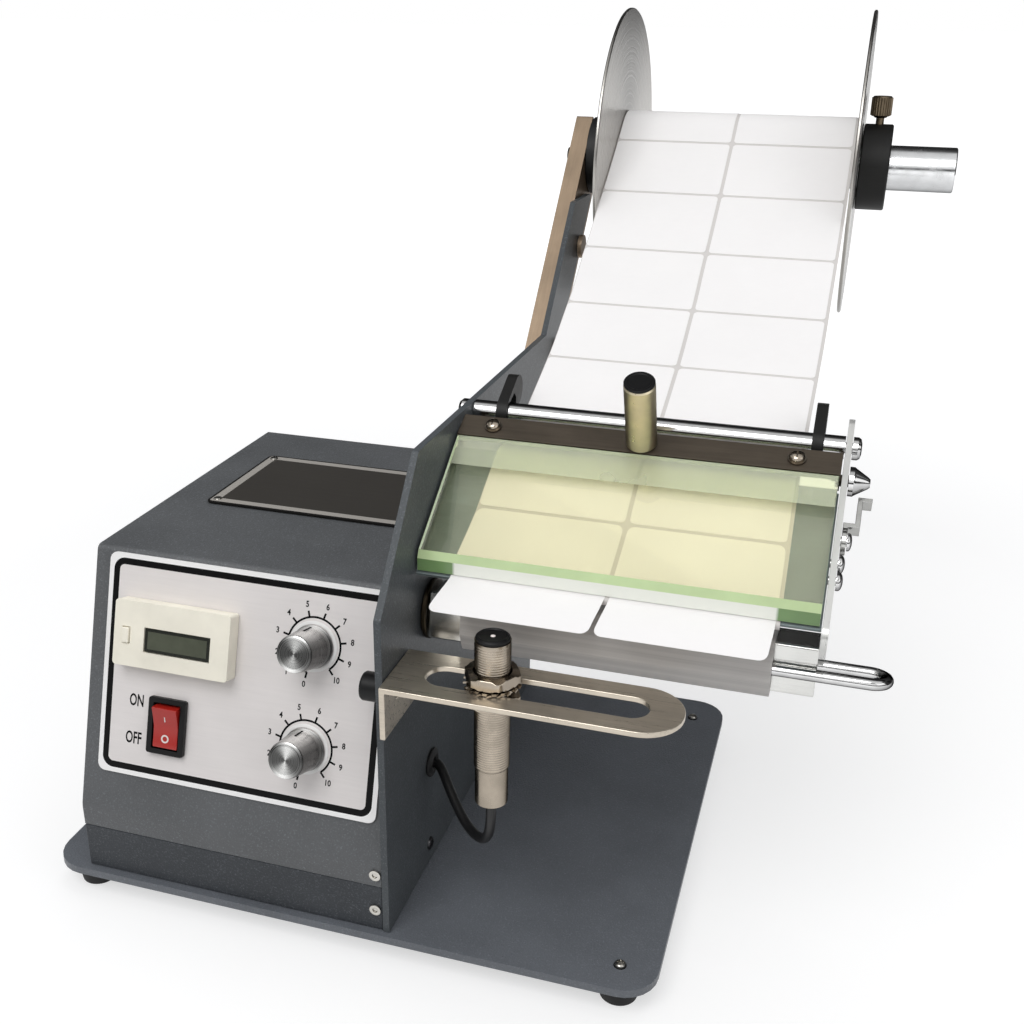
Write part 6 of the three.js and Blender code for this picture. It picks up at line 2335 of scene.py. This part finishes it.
@dataclass
class GuideRod(Assembly):
    """Bright rod over the web with its two black guides."""

    rod: Profile = (
        (0, -5.8), (3.0, -5.8), (4.0, -4.6), (4.0, -2.8), (1.9, -2.8), (1.9, 0.3), (4.0, 0.3),
        (4.0, 133.9), (1.9, 133.9), (1.9, 136.5), (4.0, 136.5), (4.0, 138.2), (3.4, 139.1),
        (2.0, 139.5), (1.8, 138.6), (0, 138.6))
    guide_tilt: float = math.radians(27)
    guide_start: float = 3.0
    guide_more: float = 4.6

    def build(self) -> None:
        """Builds the rod and its guides."""
        self.fit(Shape.turned(self.rod, 56).lying(0, *ROD_AXIS), "rod_turned", CHROME, "base", "chrome",
                 ["guide_rod"])
        leaning = self.bench.machine @ turned_at(ROD_AXIS, self.guide_tilt)
        for side in ("left", "right"):
            self.soften(f"edge_guide_{side}", BLACK_SATIN, "black_plastic", 0.45, rule=self.lengthen,
                        place=leaning)

    def lengthen(self, corner: Vector) -> Vector:
        """Draws a guide's paddle out to the length that it shows.

        Args:
            corner: One corner of the guide.

        Returns:
            Its new place.
        """
        if corner.y > self.guide_start:
            return Vector((corner.x, corner.y + self.guide_more, corner.z))
        return corner


@dataclass
class TakeUp(Assembly):
    """Square bar with the wound backing and the clip that holds it."""

    clip_reach: float = 10.8
    wire: float = 2.0
    bend_x: float = 150.6
    leg_ends: Pair = (66.0, 20.0)

    def build(self) -> None:
        """Builds the bar, the winding and the clip."""
        self.soften("take_up_shaft", SATIN_SHAFT, "chrome", 0.4)
        self.soften("liner_winding", WINDING, "liner", 0.35)
        self.clip()
        self.soften("drive_gear", BRASS, "brass", 0.15, segments=1)
        self.soften("motor_pinion", SCREW_STEEL, "steel", 0.15, segments=1)
        self.soften("gear_motor", ZINC, "steel", 0.6)

    def clip(self) -> None:
        """Builds the hairpin clip of round wire."""
        reach, bend, (short, long) = self.clip_reach, self.clip_reach / 2, self.leg_ends
        points = [Vector((short + (self.bend_x - short) * k / 4, 0, 0)) for k in range(5)]
        steps = 20
        for k in range(1, steps):
            angle = TURN / 2 * k / steps
            points.append(Vector((self.bend_x + bend * math.sin(angle), -bend + bend * math.cos(angle), 0)))
        points += [Vector((self.bend_x - (self.bend_x - long) * k / 6, -reach, 0)) for k in range(7)]
        self.fit(Shape.wire(points, self.wire), "clip_wire", CHROME, "clip", "chrome", ["hairpin_clip"],
                 smooth=60.0, place=self.bench.take_up)


@dataclass
class Sensor(Assembly):
    """Threaded sensor with its nuts on the slotted bracket."""

    x: float = 34.5
    y: float = 12.0
    radius: float = 6.0
    core: float = 5.87
    pitch: float = 0.9
    bottom: float = 58.5
    plain_top: float = 72.6
    thread_top: float = 120.0
    top: float = 121.5
    cap_radius: float = 5.65
    arm_top: float = 103.5
    arm_foot: float = 101.5
    knob: Profile = (
        (0, -10.2), (3.6, -10.2), (4.6, -9.8), (5.0, -9.2), (5.0, -3.4), (4.6, -2.8), (2.0, -2.8),
        (2.0, 2.3), (0, 2.3))
    knob_place: Place = (0.0, 10.0, 96.2)
    nut_flats: float = 16.8
    nut_bore: float = 6.3
    nut_height: float = 3.9
    low_nut_height: float = 4.0
    washer_radius: float = 8.6
    washer_height: float = 0.9
    washer_room: float = 1.3
    teeth: int = 18

    def build(self) -> None:
        """Builds the bracket, the sensor and its nuts."""
        self.soften("sensor_bracket", WARM_BRACKET, "warm_steel", 0.4, segments=3)
        knob = Shape.turned(self.knob, 40).lying(*self.knob_place)
        self.fit(knob, "bracket_knob_turned", BLACK, "bracket_screw", "black_plastic", ["bracket_knob"])
        self.barrel()
        self.nuts()

    def barrel(self) -> None:
        """Builds the threaded barrel with its plain foot and its black head."""
        profile: list[Pair] = [(0, self.bottom), (5.2, self.bottom), (5.6, self.bottom + 0.4),
                               (5.6, self.plain_top), (self.core, self.plain_top + 0.3)]
        height = self.plain_top + 0.6
        while height + self.pitch < self.thread_top:
            profile += [(self.radius, height + self.pitch * 0.3), (self.radius, height + self.pitch * 0.5),
                        (self.core, height + self.pitch * 0.8), (self.core, height + self.pitch)]
            height += self.pitch
        profile += [(self.radius, self.thread_top), (0, self.thread_top)]
        self.fit(Shape.turned(profile, 48).at(self.x, self.y), "sensor_barrel", NICKEL, "sensor", "nickel",
                 ["sensor_body"], smooth=28.0)
        top = self.top
        low, r = self.thread_top + 0.05, self.cap_radius
        head = Shape.turned([(0, low), (r, low), (r, top - 0.6), (r - 0.5, top - 0.1), (r - 0.9, top),
                             (r - 1.3, top - 0.4), (0, top - 0.4)], 56)
        self.fit(head.at(self.x, self.y), "sensor_head", BLACK, "sensor", "black_plastic", ["sensor_cap"])
        lens = Shape.turned([(0, top - 0.6), (0.8, top - 0.6), (0.8, top - 0.35), (0.5, top - 0.15),
                             (0, top - 0.1)], 24)
        self.fit(lens.at(self.x, self.y), "sensor_lens", SWITCH_PRINT, "sensor", "ivory")

    def nuts(self) -> None:
        """Builds the two nuts and the toothed washer under the upper one."""
        seat, bore = self.arm_top + GAP, self.nut_bore
        foot = seat + self.washer_room
        upper = hex_nut(self.nut_flats, bore, foot, foot + self.nut_height).soften(0.15, 1, 40.0)
        washer = ring(bore, self.washer_radius, seat, seat + self.washer_height, 48)
        for i in range(self.teeth):
            tooth = Shape.block((-0.6, -0.75, -0.3), (1.1, 0.75, 0.3))
            tooth.moved(Matrix.Rotation(math.radians(24), 4, "X")).at(8.5, 0, seat + 0.55)
            washer.plus(tooth.moved(Matrix.Rotation(TURN * i / self.teeth, 4, "Z")))
        self.fit(upper.plus(washer).at(self.x, self.y), "sensor_nut_top", NICKEL, "sensor", "nickel",
                 ["sensor_nut_upper"])
        top = self.arm_foot - GAP
        lower = hex_nut(self.nut_flats, bore, top - self.low_nut_height, top).soften(0.15, 1, 40.0)
        self.fit(lower.at(self.x, self.y), "sensor_nut_low", NICKEL, "sensor", "nickel",
                 ["sensor_nut_lower"])


@dataclass
class Inside(Assembly):
    """Circuit board in the box and the mains inlet in its back."""

    def build(self) -> None:
        """Builds what is inside and behind."""
        self.soften("control_board", BOARD, "board", 0.2, segments=1)
        self.soften("power_inlet", BLACK, "black_plastic", 0.35)


def main() -> None:
    """Builds the scene: frame, camera and cord first, then each sub-assembly."""
    logging.basicConfig(level=logging.INFO, format="%(message)s")
    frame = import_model()
    bpy.context.scene.view_settings.view_transform = "Standard"
    bench = Bench.measured(frame)
    Studio().set_up(bench)
    for assembly in (SensorCable, Chassis, TopPlate, ControlPanel, SidePlate, Reel, LabelWeb, Stage,
                     HoldDown, GuideRod, TakeUp, Sensor, Inside):
        assembly(bench).build()
        log.info("%s is built", assembly.__name__)


if __name__ == "__main__":
    main()
